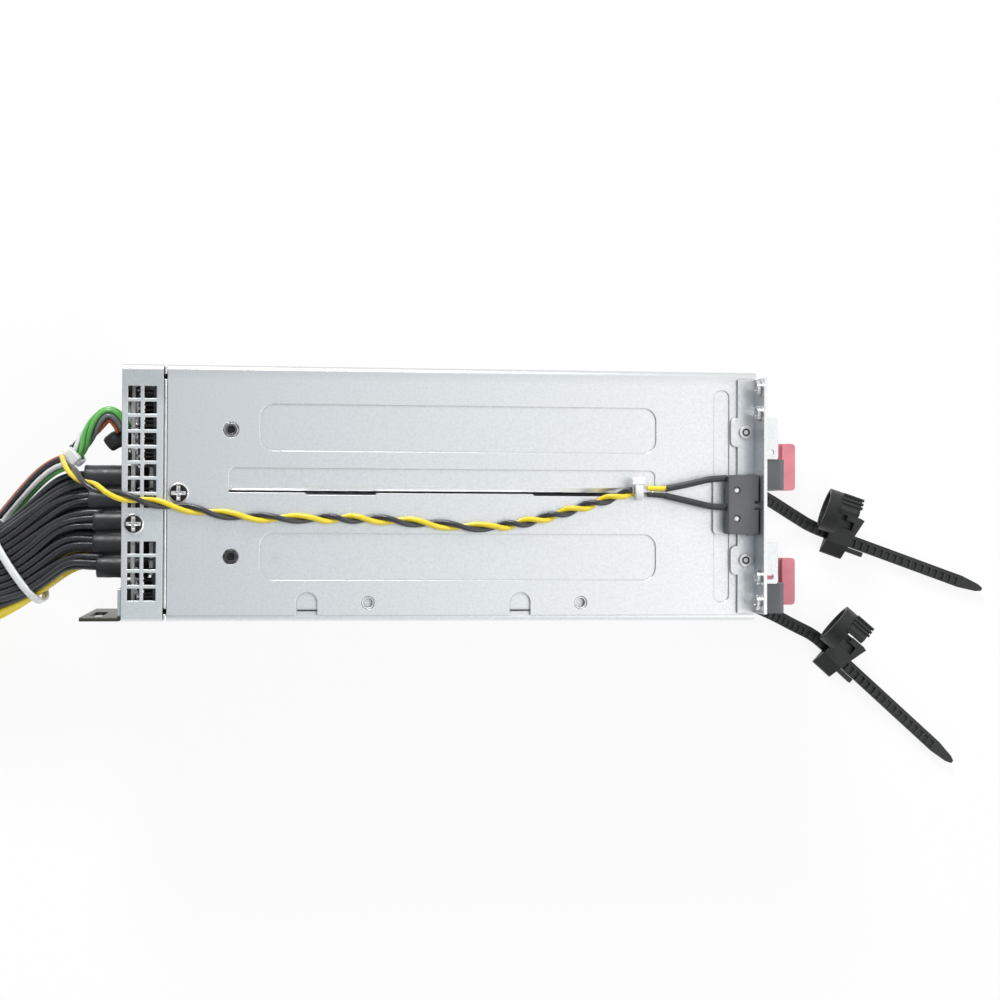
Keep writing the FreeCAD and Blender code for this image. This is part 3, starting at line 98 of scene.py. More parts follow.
class Tree:
    """Short calls for building the node tree of a material or the world."""

    def __init__(self, owner, place="Object"):
        self.nodes = owner.node_tree.nodes
        self.links = owner.node_tree.links
        self.place = self.nodes.new("ShaderNodeTexCoord").outputs[place]

    def scaled(self, x, y, z):
        mapping = self.nodes.new("ShaderNodeMapping")
        mapping.inputs["Scale"].default_value = (x, y, z)
        self.links.new(self.place, mapping.inputs["Vector"])
        return mapping.outputs["Vector"]

    def noise(self, scale, detail=3.0, rough=0.5, vector=None):
        node = self.nodes.new("ShaderNodeTexNoise")
        node.inputs["Scale"].default_value = scale
        node.inputs["Detail"].default_value = detail
        node.inputs["Roughness"].default_value = rough
        self.links.new(vector or self.place, node.inputs["Vector"])
        return node.outputs["Fac"]

    def cell_borders(self, scale):
        node = self.nodes.new("ShaderNodeTexVoronoi")
        node.feature = "DISTANCE_TO_EDGE"
        node.inputs["Scale"].default_value = scale
        self.links.new(self.place, node.inputs["Vector"])
        return node.outputs["Distance"]

    def ramp(self, value, stops):
        node = self.nodes.new("ShaderNodeValToRGB")
        elements = node.color_ramp.elements
        while len(elements) < len(stops):
            elements.new(0.5)
        for element, (place, colour) in zip(elements, stops):
            element.position = place
            element.color = (*colour, 1)
        self.links.new(value, node.inputs["Fac"])
        return node.outputs["Color"]

    def spread(self, value, low, high, from_low=0.0, from_high=1.0):
        node = self.nodes.new("ShaderNodeMapRange")
        node.inputs["From Min"].default_value = from_low
        node.inputs["From Max"].default_value = from_high
        node.inputs["To Min"].default_value = low
        node.inputs["To Max"].default_value = high
        self.links.new(value, node.inputs["Value"])
        return node.outputs["Result"]

    def mix(self, factor, a, b):
        node = self.nodes.new("ShaderNodeMix")
        node.data_type = "RGBA"
        for socket, value in ((node.inputs[0], factor), (node.inputs[6], a), (node.inputs[7], b)):
            if isinstance(value, tuple):
                socket.default_value = (*value, 1)
            else:
                self.links.new(value, socket)
        return node.outputs[2]

    def axis(self, name):
        split = self.nodes.new("ShaderNodeSeparateXYZ")
        self.links.new(self.place, split.inputs["Vector"])
        return split.outputs[name]

    def maths(self, operation, a, b):
        node = self.nodes.new("ShaderNodeMath")
        node.operation = operation
        for socket, value in zip(node.inputs, (a, b)):
            if isinstance(value, float):
                socket.default_value = value
            else:
                self.links.new(value, socket)
        return node.outputs[0]

    def lesser(self, a, b):
        return self.maths("MINIMUM", a, b)

    def cross_from(self, centres, reach):
        """Distance in millimetres from the arms of the nearest upright cross with this reach."""
        across, up = self.axis("X"), self.axis("Y")
        nearest = None
        for x, y in centres:
            offsets = []
            for value, place in ((across, x), (up, y)):
                distance = self.maths("ABSOLUTE", self.maths("SUBTRACT", value, place), 0.0)
                offsets.append(self.maths("MULTIPLY", distance, 1 / MM))
            beyond = self.maths("SUBTRACT", self.maths("MAXIMUM", *offsets), reach)
            distance = self.maths("MAXIMUM", self.lesser(*offsets), beyond)
            nearest = distance if nearest is None else self.lesser(nearest, distance)
        return nearest

    def distance_from(self, centres):
        """Distance in plan, in millimetres, from the nearest of the centres."""
        flat = self.scaled(1 / MM, 1 / MM, 0)
        nearest = None
        for x, y in centres:
            node = self.nodes.new("ShaderNodeVectorMath")
            node.operation = "DISTANCE"
            node.inputs[1].default_value = (x / MM, y / MM, 0)
            self.links.new(flat, node.inputs[0])
            distance = node.outputs["Value"]
            nearest = distance if nearest is None else self.lesser(nearest, distance)
        return nearest

    def rounded_edges(self, radius):
        """A surface direction that turns smoothly over sharp edges, as on formed or moulded parts."""
        bevel = self.nodes.new("ShaderNodeBevel")
        bevel.samples = 6
        bevel.inputs["Radius"].default_value = radius
        return bevel.outputs["Normal"]

    def shade_crevices(self, colour, reach, depth):
        """A colour with painted shade in corners and beside what stands on the surface."""
        near = self.nodes.new("ShaderNodeAmbientOcclusion")
        near.samples = 8
        near.inputs["Distance"].default_value = reach
        unshaded = self.spread(near.outputs["AO"], 1.0 - depth, 1.0, 0.2, 0.9)
        return self.mix(unshaded, CREVICE_SHADE, colour)

    def colour_and_gloss(self, shader, colour, worn, roughness, less, more):
        """Give the shader its colour, and a roughness that follows a noise."""
        self.links.new(colour, shader.inputs["Base Color"])
        varied = self.spread(worn, roughness - less, roughness + more, 0.3, 0.7)
        self.links.new(varied, shader.inputs["Roughness"])

    def bump(self, height, strength, distance, shader, under=None):
        node = self.nodes.new("ShaderNodeBump")
        node.inputs["Strength"].default_value = strength
        node.inputs["Distance"].default_value = distance
        self.links.new(height, node.inputs["Height"])
        if under:
            self.links.new(under, node.inputs["Normal"])
        self.links.new(node.outputs["Normal"], shader.inputs["Normal"])


def zinc_grain(tree, colour):
    """The mottled grain, draw lines and odd smudges of zinc-coated sheet."""
    grain = tree.noise(1150, 4, 0.75)
    streak = tree.noise(1.0, 3, 0.6, tree.scaled(1500, 22, 1500))
    smudge = tree.noise(75, 4, 0.6)
    mottled = tree.mix(tree.spread(grain, 0.0, 0.75, 0.38, 0.72), colour, shade(colour, 0.8))
    lined = tree.mix(tree.spread(streak, 0.0, 0.12, 0.5, 0.8), mottled, shade(colour, 1.1))
    return grain, tree.mix(tree.spread(smudge, 0.0, 0.35, 0.66, 0.78), lined, shade(colour, 0.72))


def sheet_steel(name, colour, roughness=0.34, edge=0.0003, shaded_above=None):
    """Zinc-coated sheet with rounded edges and painted shade in its corners, and, where asked, painted
    shade above a height along Y.
    """
    material, shader = new_material(name, colour, metallic=1.0, roughness=roughness)
    tree = Tree(material)
    grain, tone = zinc_grain(tree, colour)
    # painted shade: the colour darker above the given height along Y
    if shaded_above:
        share = tree.spread(tree.axis("Y"), 0.0, 1.0, shaded_above, shaded_above + 0.005)
        tone = tree.mix(share, tone, shade(colour, 0.78))
    tree.colour_and_gloss(shader, tree.shade_crevices(tone, 0.0012, 0.5), grain, roughness, 0.06, 0.08)
    tree.bump(grain, 0.08, 0.0002, shader, tree.rounded_edges(edge))
    return material


def foot_steel(name, colour, reflected_colour, foot_top):
    """The foot bracket's sheet: the foot itself is painted dark, a painted reflection of dark
    surroundings; its upright is as the cover.
    """
    material, shader = new_material(name, colour, metallic=1.0, roughness=0.38)
    tree = Tree(material)
    grain, tone = zinc_grain(tree, colour)
    rise = tree.spread(tree.axis("Y"), 0.0, 1.0, foot_top, foot_top + 0.0006)
    # painted reflection: the foot itself dark, varied by the grain
    dark_reflection = tree.mix(tree.spread(grain, 0.0, 0.6, 0.4, 0.7), reflected_colour, shade(reflected_colour, 0.7))
    colour = tree.shade_crevices(tree.mix(rise, dark_reflection, tone), 0.0012, 0.5)
    tree.links.new(colour, shader.inputs["Base Color"])
    tree.bump(grain, 0.08, 0.0002, shader, tree.rounded_edges(0.0004))
    return material


def plastic(name, colour, roughness=0.45, grain=900, depth=0.08, coat=0.0, variation=0.12,
            specular=0.5):
    """Moulded plastic with a fine texture and slight unevenness of colour."""
    material, shader = new_material(name, colour, roughness=roughness, coat=coat, specular=specular)
    tree = Tree(material)
    darker, lighter = shade(colour, 1 - variation), shade(colour, 1 + variation)
    tone = tree.ramp(tree.noise(90, 3, 0.5), [(0.3, darker), (0.7, lighter)])
    fine = tree.noise(grain, 3, 0.6)
    tree.colour_and_gloss(shader, tree.shade_crevices(tone, 0.0015, 0.5), fine, roughness, 0.08, 0.1)
    tree.bump(fine, depth, 0.0002, shader, tree.rounded_edges(0.0004))
    return material


def insulation(name, colour, roughness=0.24):
    """Extruded wire insulation: glossy, with faint waviness."""
    material, shader = new_material(name, colour, roughness=roughness)
    tree = Tree(material)
    wave = tree.noise(160, 2, 0.5)
    tone = tree.ramp(wave, [(0.3, shade(colour, 0.86)), (0.7, colour)])
    fine = tree.noise(420, 2, 0.5)
    tree.colour_and_gloss(shader, tree.shade_crevices(tone, 0.0011, 0.45), fine, roughness, 0.04, 0.08)
    tree.bump(wave, 0.05, 0.0003, shader)
    return material


def bare_metal(name, colour, roughness=0.25, shade_depth=0.8):
    """Plated or tinned hardware with small scratches."""
    material, shader = new_material(name, colour, metallic=1.0, roughness=roughness)
    tree = Tree(material)
    scratch = tree.noise(1.0, 4, 0.7, tree.scaled(300, 2200, 700))
    tint = tree.ramp(tree.noise(240, 3, 0.5), [(0.3, shade(colour, 0.82)), (0.7, colour)])
    # painted shade in corners, as deep as the last argument gives
    tree.colour_and_gloss(shader, tree.shade_crevices(tint, 0.0009, shade_depth), scratch, roughness, 0.08, 0.15)
    tree.bump(scratch, 0.05, 0.0001, shader, tree.rounded_edges(0.00035))
    return material


# reach of the cross in a screw's head, in mm
CROSS_ARM = 1.8


def ringed_metal(name, centres, rings, roughness=0.3, cross=None, dark_below=False):
    """A turned fastener painted ring by ring with highlight and shade colours: (outer radius in mm,
    colour) pairs.
    """
    material, shader = new_material(name, rings[-1][1], metallic=1.0, roughness=roughness)
    tree = Tree(material)
    distance = tree.distance_from(centres)
    worn = tree.noise(420, 3, 0.6)
    tone = rings[0][1]
    for (radius, _), (_, colour) in zip(rings, rings[1:]):
        tone = tree.mix(tree.spread(distance, 0.0, 1.0, radius - 0.12, radius + 0.12), tone, colour)
    if cross:
        on_cross = tree.spread(tree.cross_from(centres, CROSS_ARM), 1.0, 0.0, 0.5, 0.7)
        tone = tree.mix(on_cross, tone, cross)
    if dark_below:
        below = tree.spread(tree.axis("Y"), 1.0, 0.0, -0.0001, 0.0001)
        tone = tree.mix(below, tone, shade(rings[-1][1], 0.16))
    tree.colour_and_gloss(shader, tree.shade_crevices(tone, 0.0008, 0.5), worn, roughness, 0.1, 0.15)
    tree.bump(worn, 0.08, 0.0001, shader, tree.rounded_edges(0.0003))
    return material


def circuit_board(name, mask, track):
    """Solder mask with faint tracks."""
    material, shader = new_material(name, mask, roughness=0.3, coat=0.3)
    tree = Tree(material)
    tracks = tree.ramp(tree.cell_borders(180), [(0.02, track), (0.05, mask)])
    tree.links.new(tracks, shader.inputs["Base Color"])
    tree.bump(tree.noise(400, 3, 0.5), 0.08, 0.0002, shader)
    return material


SLEEVE_BLACK = (0.030, 0.031, 0.032)
SLEEVE_WORN = (0.05, 0.051, 0.053)
STRAND_BLACK = (0.032, 0.030, 0.034)
STRAND_YELLOW = (0.92, 0.70, 0.035)


def lead_sleeves(name, change_x, divide_y):
    """Black sleeves that end part of the way along, then one yellow and one black wire."""
    material, shader = new_material(name, SLEEVE_BLACK, roughness=0.42)
    tree = Tree(material)
    bare = tree.spread(tree.axis("X"), 1.0, 0.0, change_x - 0.0001, change_x + 0.0001)
    upper = tree.spread(tree.axis("Y"), 0.0, 1.0, divide_y - 0.0001, divide_y + 0.0001)
    wires = tree.mix(upper, STRAND_BLACK, STRAND_YELLOW)
    fine = tree.noise(700, 3, 0.6)
    sleeve = tree.mix(tree.spread(fine, 0.0, 1.0, 0.3, 0.7), SLEEVE_BLACK, SLEEVE_WORN)
    colour = tree.shade_crevices(tree.mix(bare, sleeve, wires), 0.0012, 0.5)
    tree.links.new(colour, shader.inputs["Base Color"])
    tree.bump(fine, 0.1, 0.0002, shader, tree.rounded_edges(0.0003))
    return material


def plan_centres(node, axis):
    """Centres in plan of a node's two solids, which lie apart along one axis."""
    points = [v.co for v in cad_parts[node].data.vertices]
    middle = (min(p[axis] for p in points) + max(p[axis] for p in points)) / 2
    centres = []
    for upper in (True, False):
        half = [p for p in points if (p[axis] > middle) == upper]
        spans = [[p[i] for p in half] for i in (0, 1)]
        centres.append(tuple((min(span) + max(span)) / 2 for span in spans))
    return centres


# fastener ring colours: the brightest is a painted highlight, the three darkest are painted shade
HIGHLIGHT_ZINC = (0.86, 0.86, 0.85)
DULL_ZINC = (0.55, 0.55, 0.54)
SHADED_ZINC = (0.17, 0.17, 0.165)
ZINC_SHADE = (0.035, 0.033, 0.03)
BORE_SHADE = (0.012, 0.012, 0.012)
# the last ring reaches past the fastener's rim
REST = 9.0
SCREW_PLACES = plan_centres("cross_screws", 0)
INSERT_PLACES = plan_centres("wall_inserts", 1)

STEEL = sheet_steel("zinc_sheet", (0.88, 0.895, 0.905), shaded_above=0.037)
COVER = sheet_steel("zinc_sheet_grey", (0.84, 0.87, 0.88), 0.4, shaded_above=0.028)
FOOT = foot_steel("zinc_sheet_foot", (0.76, 0.79, 0.80), (0.09, 0.09, 0.07), -0.0405)
CASE = sheet_steel("zinc_sheet_case", (0.84, 0.85, 0.86), 0.33)
ZINC = bare_metal("zinc_plate", (0.80, 0.81, 0.82))
SCREWS = ringed_metal("screw_shaded_rings", SCREW_PLACES, [(0.5, HIGHLIGHT_ZINC), (REST, ZINC_SHADE)],
                      cross=HIGHLIGHT_ZINC)
RIVETS = ringed_metal("rivet_shaded_rings", plan_centres("bracket_rivets", 1),
                      [(0.75, HIGHLIGHT_ZINC), (1.3, ZINC_SHADE), (REST, HIGHLIGHT_ZINC)])
INSERTS = ringed_metal("insert_shaded_rings", INSERT_PLACES,
                       [(1.1, BORE_SHADE), (1.95, SHADED_ZINC), (REST, DULL_ZINC)], dark_below=True)
# near-white metal, a painted highlight on the seam, the screws' seats and the strip behind the vents
HIGHLIGHT_METAL = bare_metal("highlight_metal", (0.97, 0.97, 0.96), 0.35, 0.0)
TINNED = bare_metal("tinned", (0.80, 0.79, 0.75), 0.3)
BOARD = circuit_board("solder_mask", (0.015, 0.11, 0.045), (0.05, 0.28, 0.12))
DARK_BOARD = circuit_board("dark_solder_mask", (0.008, 0.016, 0.014), (0.03, 0.06, 0.05))
MOULDED = plastic("moulded_black", (0.028, 0.028, 0.030), 0.42)
NYLON = plastic("nylon_black", (0.020, 0.021, 0.021), 0.42, 700, 0.12, specular=0.35)
HANDLE = plastic("handle_black", (0.125, 0.127, 0.13), 0.46, 1100, 0.1)
CHARCOAL = plastic("charcoal", (0.115, 0.117, 0.124), 0.5, 1500, 0.15)
SLEEVE = plastic("shrink_sleeve", (0.030, 0.031, 0.035), 0.42, 420, 0.18)
PINK = plastic("release_pink", (0.74, 0.235, 0.285), 0.42, 900, 0.06, 0.1)
TIE = plastic("tie_white", (0.88, 0.89, 0.90), 0.38, 500, 0.06, 0.15, 0.05)
IVORY = plastic("ivory", (0.84, 0.83, 0.78), 0.4)
LIGHT = plastic("light_green", (0.25, 0.55, 0.28), 0.2, 500, 0.02, 0.5)
# black that paints the shade behind the vents, in the windows' gaps and in the inserts' bores
SHADE_BLACK = plastic("shade_black_film", (0.010, 0.011, 0.013), 0.35)
BLACK_WIRE = insulation("wire_black", (0.046, 0.046, 0.051), 0.27)
YELLOW_WIRE = insulation("wire_yellow", (0.92, 0.70, 0.035))
GREEN_WIRE = insulation("wire_green", (0.14, 0.50, 0.11))
ORANGE_WIRE = insulation("wire_orange", (0.74, 0.15, 0.045))
WHITE_WIRE = insulation("wire_white", (0.84, 0.84, 0.82))
GREY_WIRE = insulation("wire_grey", (0.20, 0.205, 0.21))
RED_WIRE = insulation("wire_red", (0.55, 0.03, 0.03))

CAGE_LOOKS = {
    "cage_shell": STEEL, "cage_base_plate": STEEL, "rear_cover": COVER, "rear_foot_bracket": FOOT,
    "front_flange_bracket": STEEL, "flange_nuts": ZINC, "bracket_rivets": RIVETS, "cross_screws": SCREWS,
    "wall_inserts": INSERTS, "distribution_board": DARK_BOARD, "board_sockets": MOULDED,
    "board_capacitors": MOULDED, "output_lugs": TINNED, "switch_body": CHARCOAL,
    "switch_terminals": TINNED, "switch_button": IVORY, "main_connector": MOULDED,
    "processor_connector": MOULDED, "drive_connector": IVORY, "signal_connector": MOULDED,
    "switch_leads": lead_sleeves("lead_sleeves", 73.5 * MM, 1.4 * MM),
}
MODULE_LOOKS = {
    "case_tray": CASE, "case_cover": CASE, "front_panel": CASE, "fan_frame": MOULDED,
    "fan_rotor": MOULDED, "mains_inlet": MOULDED, "inlet_pins": TINNED, "main_board": BOARD,
    "power_parts": MOULDED, "handle": HANDLE, "latch": PINK, "latch_pin": ZINC, "strap": NYLON,
    "strap_clamp": NYLON, "status_light": LIGHT,
}


def dress(node, material):
    """Give a CAD node its material."""
    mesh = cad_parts[node].data
    mesh.materials.clear()
    mesh.materials.append(material)


for node, material in CAGE_LOOKS.items():
    dress(node, material)
for prefix in ("upper", "lower"):
    for node, material in MODULE_LOOKS.items():
        dress(f"{prefix}_{node}", material)


# Cord routes, in millimetres, as in the solid model
def metres(points):
    """Points in metres from points in millimetres."""
    return [tuple(round(c * MM, 6) for c in p) for p in points]


TRUNK = metres([(-118.2, -9.0, 44.0), (-137, -18.6, 40.5), (-156, -31.5, 30.5), (-181, -46.5, 19.5),
                (-213, -59, 15.3), (-250, -66.5, 14.8), (-287, -66, 14.9)])
MAIN = metres([(-287, -73.8, 12), (-316, -75, 7), (-350, -60, 5.8), (-364, -24, 5.8), (-344, 10, 5.8),
               (-306, 24, 5.8), (-270, 25, 5.8)])
PROCESSOR = metres([(-287, -63.8, 12), (-308, -63, 6), (-332, -48, 4.3), (-336, -20, 4.3),
                    (-316, -1, 4.3), (-290, 2, 4.3)])
DRIVE = metres([(-287, -55.5, 12), (-303, -54, 6), (-316, -42, 3.6), (-314, -25, 3.6), (-298, -18, 3.6),
                (-281, -20, 3.6)])
# the first bend of the signal wires follows the photograph a little more closely than their solid
SIGNAL = metres([(-107.0, 21.6, 52), (-110.5, 29.2, 53), (-117.8, 22.4, 52), (-123.5, 12.0, 50),
                 (-133.0, 8.8, 44), (-144, -2.5, 34), (-153.5, -12.5, 22.5), (-167, -13.5, 10),
                 (-185, -7, 3.4), (-202, 8, 3.2), (-208, 30, 3.2), (-198, 50, 3.2), (-179, 61, 3.2)])
TWISTED = metres([(62.4, 1.4, 81.4), (53, -1.7, 80.5), (41, -5.4, 80.4), (26, -9.6, 80.4),
                  (10, -11.2, 80.4), (-8, -9.4, 80.4), (-28, -8.0, 80.4), (-50, -8.3, 80.4),
                  (-70, -7.6, 80.4), (-86, -4.9, 80.4), (-98, -2.9, 80.6), (-109.5, -0.6, 80.5),
                  (-118.5, 3.4, 75.5), (-124, 8.2, 66), (-127, 11.6, 54.5)])


def spline_points(route, steps=10):
    """Points along the smooth spline that has the route as its control points."""
    data = bpy.data.curves.new("route", "CURVE")
    data.dimensions = "3D"
    data.resolution_u = steps
    spline = data.splines.new("NURBS")
    spline.points.add(len(route) - 1)
    for point, place in zip(spline.points, route):
        point.co = (*place, 1)
    spline.order_u = 3
    spline.use_endpoint_u = True
    obj = link(bpy.data.objects.new("route", data))
    mesh = bpy.data.meshes.new_from_object(obj)
    points = [v.co.copy() for v in mesh.vertices]
    bpy.data.objects.remove(obj)
    bpy.data.meshes.remove(mesh)
    return points


def lengths_along(points):
    """The distance along the points, at each of them."""
    total = [0.0]
    for a, b in zip(points, points[1:]):
        total.append(total[-1] + (b - a).length)
    return total


def directions(points):
    """The direction of travel at each point."""
    last = len(points) - 1
    return [(points[min(i + 1, last)] - points[max(i - 1, 0)]).normalized() for i in range(last + 1)]


def section_axes(points):
    """At each point, the level direction across the route and the one above it."""
    axes = []
    for along in directions(points):
        across = Vector((0, 0, 1)).cross(along)
        across = across.normalized() if across.length > 0.05 else axes[-1][0]
        axes.append((across, along.cross(across).normalized()))
    return axes


def sweep(bm, points, radius, look, sides=10):
    """A round tube along points, closed at both ends; its radius may differ from point to point."""
    radii = radius if isinstance(radius, list) else [radius] * len(points)
    rings = []
    side = None
    for point, along, reach in zip(points, directions(points), radii):
        if side is None:
            side = along.orthogonal().normalized()
        side = (side - along * side.dot(along)).normalized()
        other = along.cross(side)
        ring = []
        for k in range(sides):
            turn = 2 * math.pi * k / sides
            ring.append(bm.verts.new(point + (side * math.cos(turn) + other * math.sin(turn)) * reach))
        rings.append(ring)
    for a, b in zip(rings, rings[1:]):
        for k in range(sides):
            face = bm.faces.new((a[k], a[(k + 1) % sides], b[(k + 1) % sides], b[k]))
            face.smooth = True
            face.material_index = look
    bm.faces.new(list(reversed(rings[0]))).material_index = look
    bm.faces.new(rings[-1]).material_index = look


def cage_piece(name, bm, materials, slot, *nodes):
    """A piece that rides on the cage and may stand for CAD nodes."""
    mesh = bpy.data.meshes.new(name)
    bmesh.ops.recalc_face_normals(bm, faces=bm.faces[:])
    bm.to_mesh(mesh)
    bm.free()
    for material in materials:
        mesh.materials.append(material)
    obj = link(bpy.data.objects.new(name, mesh))
    if nodes:
        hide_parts(*nodes)
    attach(obj, "cage")
    return obj


def smooth(value):
    """An ease from 0 to 1."""
    value = min(1.0, max(0.0, value))
    return value * value * (3 - 2 * value)


class Drift:
    """A slow seeded wander along a wire."""

    def __init__(self, rng, size, wave):
        self.parts = [(rng.uniform(0.5, 1.0) * size, rng.uniform(0.6, 1.5) * wave, rng.uniform(0, 6.28))
                      for _ in range(3)]

    def at(self, distance):
        return sum(a * math.sin(2 * math.pi * distance / w + p) for a, w, p in self.parts) / 1.8


def block(bm, centre, size, turn, rounding, look=0):
    """A block turned by a matrix whose columns are its own directions; look is its rounded edges'."""
    place = Matrix.Translation(centre) @ turn.to_4x4() @ Matrix.Diagonal((*size, 1))
    made = bmesh.ops.create_cube(bm, size=1.0, matrix=place)
    edges = list({edge for vert in made["verts"] for edge in vert.link_edges})
    result = bmesh.ops.bevel(bm, geom=edges, offset=rounding, segments=2, affect="EDGES", profile=0.6)
    for face in result["faces"]:
        face.smooth = True
        face.material_index = look


# a band's half section, in shares of its half width and its thickness
BAND_SECTION = ((-1, 0), (1, 0), (1, 0.75), (0.7, 1), (-0.7, 1), (-1, 0.75))
BAND_SQUARENESS = 0.85


def tie_band(bm, centre, along, half_wide, half_high, width, sheet, steps=56):
    """The flat band of a cable tie, pulled round a bundle."""
    along = Vector(along).normalized()
    side = Vector((0, 0, 1)).cross(along).normalized()
    up = along.cross(side)
    rings = []
    for i in range(steps):
        turn = 2 * math.pi * i / steps
        ca, sa = math.cos(turn), math.sin(turn)
        base = Vector(centre)
        base += side * (half_wide * math.copysign(abs(ca) ** BAND_SQUARENESS, ca))
        base += up * (half_high * math.copysign(abs(sa) ** BAND_SQUARENESS, sa))
        out = (side * (ca / half_wide) + up * (sa / half_high)).normalized()
        rings.append([bm.verts.new(base + along * (a * width / 2) + out * (b * sheet))
                      for a, b in BAND_SECTION])
    count = len(rings[0])
    for a, b in zip(rings, rings[1:] + rings[:1]):
        for k in range(count):
            face = bm.faces.new((a[k], a[(k + 1) % count], b[(k + 1) % count], b[k]))
            face.smooth = True
    return side, up


def frame_of(x_axis, z_axis):
    """A turn with the given X direction and, as nearly as may be, the given Z direction."""
    x_axis = Vector(x_axis).normalized()
    y_axis = Vector(z_axis).cross(x_axis).normalized()
    z_axis = x_axis.cross(y_axis)
    return Matrix((x_axis, y_axis, z_axis)).transposed()


# Harness trunk: wires leave the sleeves as a wide fan, which a tie gathers into a flattened bundle
TRUNK_HALF = (14.2 * MM, 5.6 * MM)
TRUNK_ROLL = 0.5
FAN_STEPS = 16
WIRE = 1.12 * MM
WIRE_PITCH = 2.3 * MM
FAN_START_X = -118.0 * MM
FAN_HIDDEN_X = -114.0 * MM
FAN_TOP_Y = 8.3 * MM
FAN_LOW_Y = -28.6 * MM
FAN_Z = 44.0 * MM
FAN_HALF_Z = 5.4 * MM
GATHERED_AT = 0.0275


def packed_places(half_wide, half_high, pitch):
    """Places of wires in a flattened bundle, in staggered rows from the top down."""
    places = []
    high = half_high
    while high >= -half_high - 1e-9:
        reach = half_wide * math.sqrt(max(0.0, 1 - (high / (half_high * 1.9)) ** 2))
        count = int(2 * reach / pitch)
        for i in range(count):
            places.append(((i - (count - 1) / 2) * pitch, high))
        high -= pitch * 0.88
    return places


def is_yellow(across, high):
    """The yellow wires lie along the side that points to -Y, mostly under the black ones."""
    return (across > 7.4 * MM and high < 3 * MM) or (across > 3 * MM and high < -2 * MM)


def fan_start(across, high, rng):
    """Where a wire leaves its sleeve."""
    share = (across + TRUNK_HALF[0]) / (2 * TRUNK_HALF[0])
    y = FAN_TOP_Y + (FAN_LOW_Y - FAN_TOP_Y) * share + rng.uniform(-0.8, 0.8) * MM
    z = FAN_Z + FAN_HALF_Z * high / TRUNK_HALF[1]
    if is_yellow(across, high):
        return Vector((FAN_START_X, y + 2.4 * MM, min(z, FAN_Z - 1.5 * MM) - 1.5 * MM))
    return Vector((FAN_START_X, y, z))


def hermite(a, out, b, into, share):
    """A point on the cubic from a, leaving as out, to b, arriving as into."""
    s2, s3 = share * share, share ** 3
    places = a * (2 * s3 - 3 * s2 + 1) + b * (3 * s2 - 2 * s3)
    return places + out * (s3 - 2 * s2 + share) + into * (s3 - s2)


def rolled(across, high, turn):
    """A place in a bundle's section after the bundle has turned."""
    return (across * math.cos(turn) - high * math.sin(turn),
            across * math.sin(turn) + high * math.cos(turn))


def trunk_wires(points, along, first):
    """The trunk's single wires, from inside the sleeves, through the tie and along the route."""
    axes = section_axes(points)
    tied_way = directions(points)[first]
    rng = random.Random(11)
    bm = bmesh.new()
    for across, high in packed_places(TRUNK_HALF[0], TRUNK_HALF[1], WIRE_PITCH):
        start = fan_start(across, high, rng)
        drift_a, drift_b = Drift(rng, 0.0006, 0.055), Drift(rng, 0.0004, 0.05)
        gathered = []
        for i in range(first, len(points)):
            side, up = axes[i]
            ease = smooth((along[i] - GATHERED_AT) / 0.02)
            a, b = rolled(across, high, TRUNK_ROLL * ease)
            a += drift_a.at(along[i]) * ease
            b += drift_b.at(along[i]) * ease
            gathered.append(points[i] + side * a + up * b)
        reach = (gathered[0] - start).length
        out = Vector((-1, rng.uniform(-0.1, 0.14), rng.uniform(-0.08, 0.08)))
        out = out * reach * rng.uniform(0.8, 1.4)
        into = tied_way * reach * rng.uniform(1.6, 2.0)
        path = [Vector((x, start.y, start.z)) for x in (FAN_HIDDEN_X, FAN_START_X + 2 * MM)]
        path += [hermite(start, out, gathered[0], into, k / FAN_STEPS) for k in range(FAN_STEPS)]
        sweep(bm, path + gathered, WIRE, int(is_yellow(across, high)), 12)
    return cage_piece("trunk_wires", bm, [BLACK_WIRE, YELLOW_WIRE], "wire_black", "harness_trunk")


def trunk_ties(points, first, last):
    """The tie that gathers the fan, and the one before the branches part."""
    axes = section_axes(points)
    ways = directions(points)
    wide, high = TRUNK_HALF
    bm = bmesh.new()
    tie_band(bm, points[first], ways[first], wide + 1.3 * MM, high + 1.9 * MM, 2.6 * MM, 1.1 * MM)
    side, up = axes[first]
    head = points[first] - up * (high + 3.0 * MM) + side * 8 * MM
    block(bm, head, (5.0 * MM, 5.6 * MM, 3.4 * MM), frame_of(ways[first], up), 0.5 * MM)
    tie_band(bm, points[last], ways[last], wide + 0.2 * MM, high + 2.2 * MM, 4.6 * MM, 1.2 * MM)
    side, up = axes[last]
    head = points[last] + side * (wide + 2.0 * MM)
    block(bm, head, (6.6 * MM, 4.2 * MM, 6.0 * MM), frame_of(ways[last], up), 0.6 * MM)
    return cage_piece("trunk_ties", bm, [TIE], "tie_white", "harness_ties")


def trunk():
    points = spline_points(TRUNK)
    along = lengths_along(points)
    first = next(i for i, distance in enumerate(along) if distance >= GATHERED_AT)
    obj = trunk_wires(points, along, first)
    ties = trunk_ties(points, first, len(points) - 4)
    sleeves()


# Shrink sleeves over the bunches of wires where they leave the cover
SLEEVE_ROWS = (40.0 * MM, 47.6 * MM)
SLEEVE_ENDS = (-115.6, -116.4, -117.2, -118.2, -119.2)
SLEEVE_ROOT = -99.0
SLEEVE_FIRST_Y = -24.5
SLEEVE_PITCH = 7.6
SLEEVE_RADIUS = 3.95 * MM


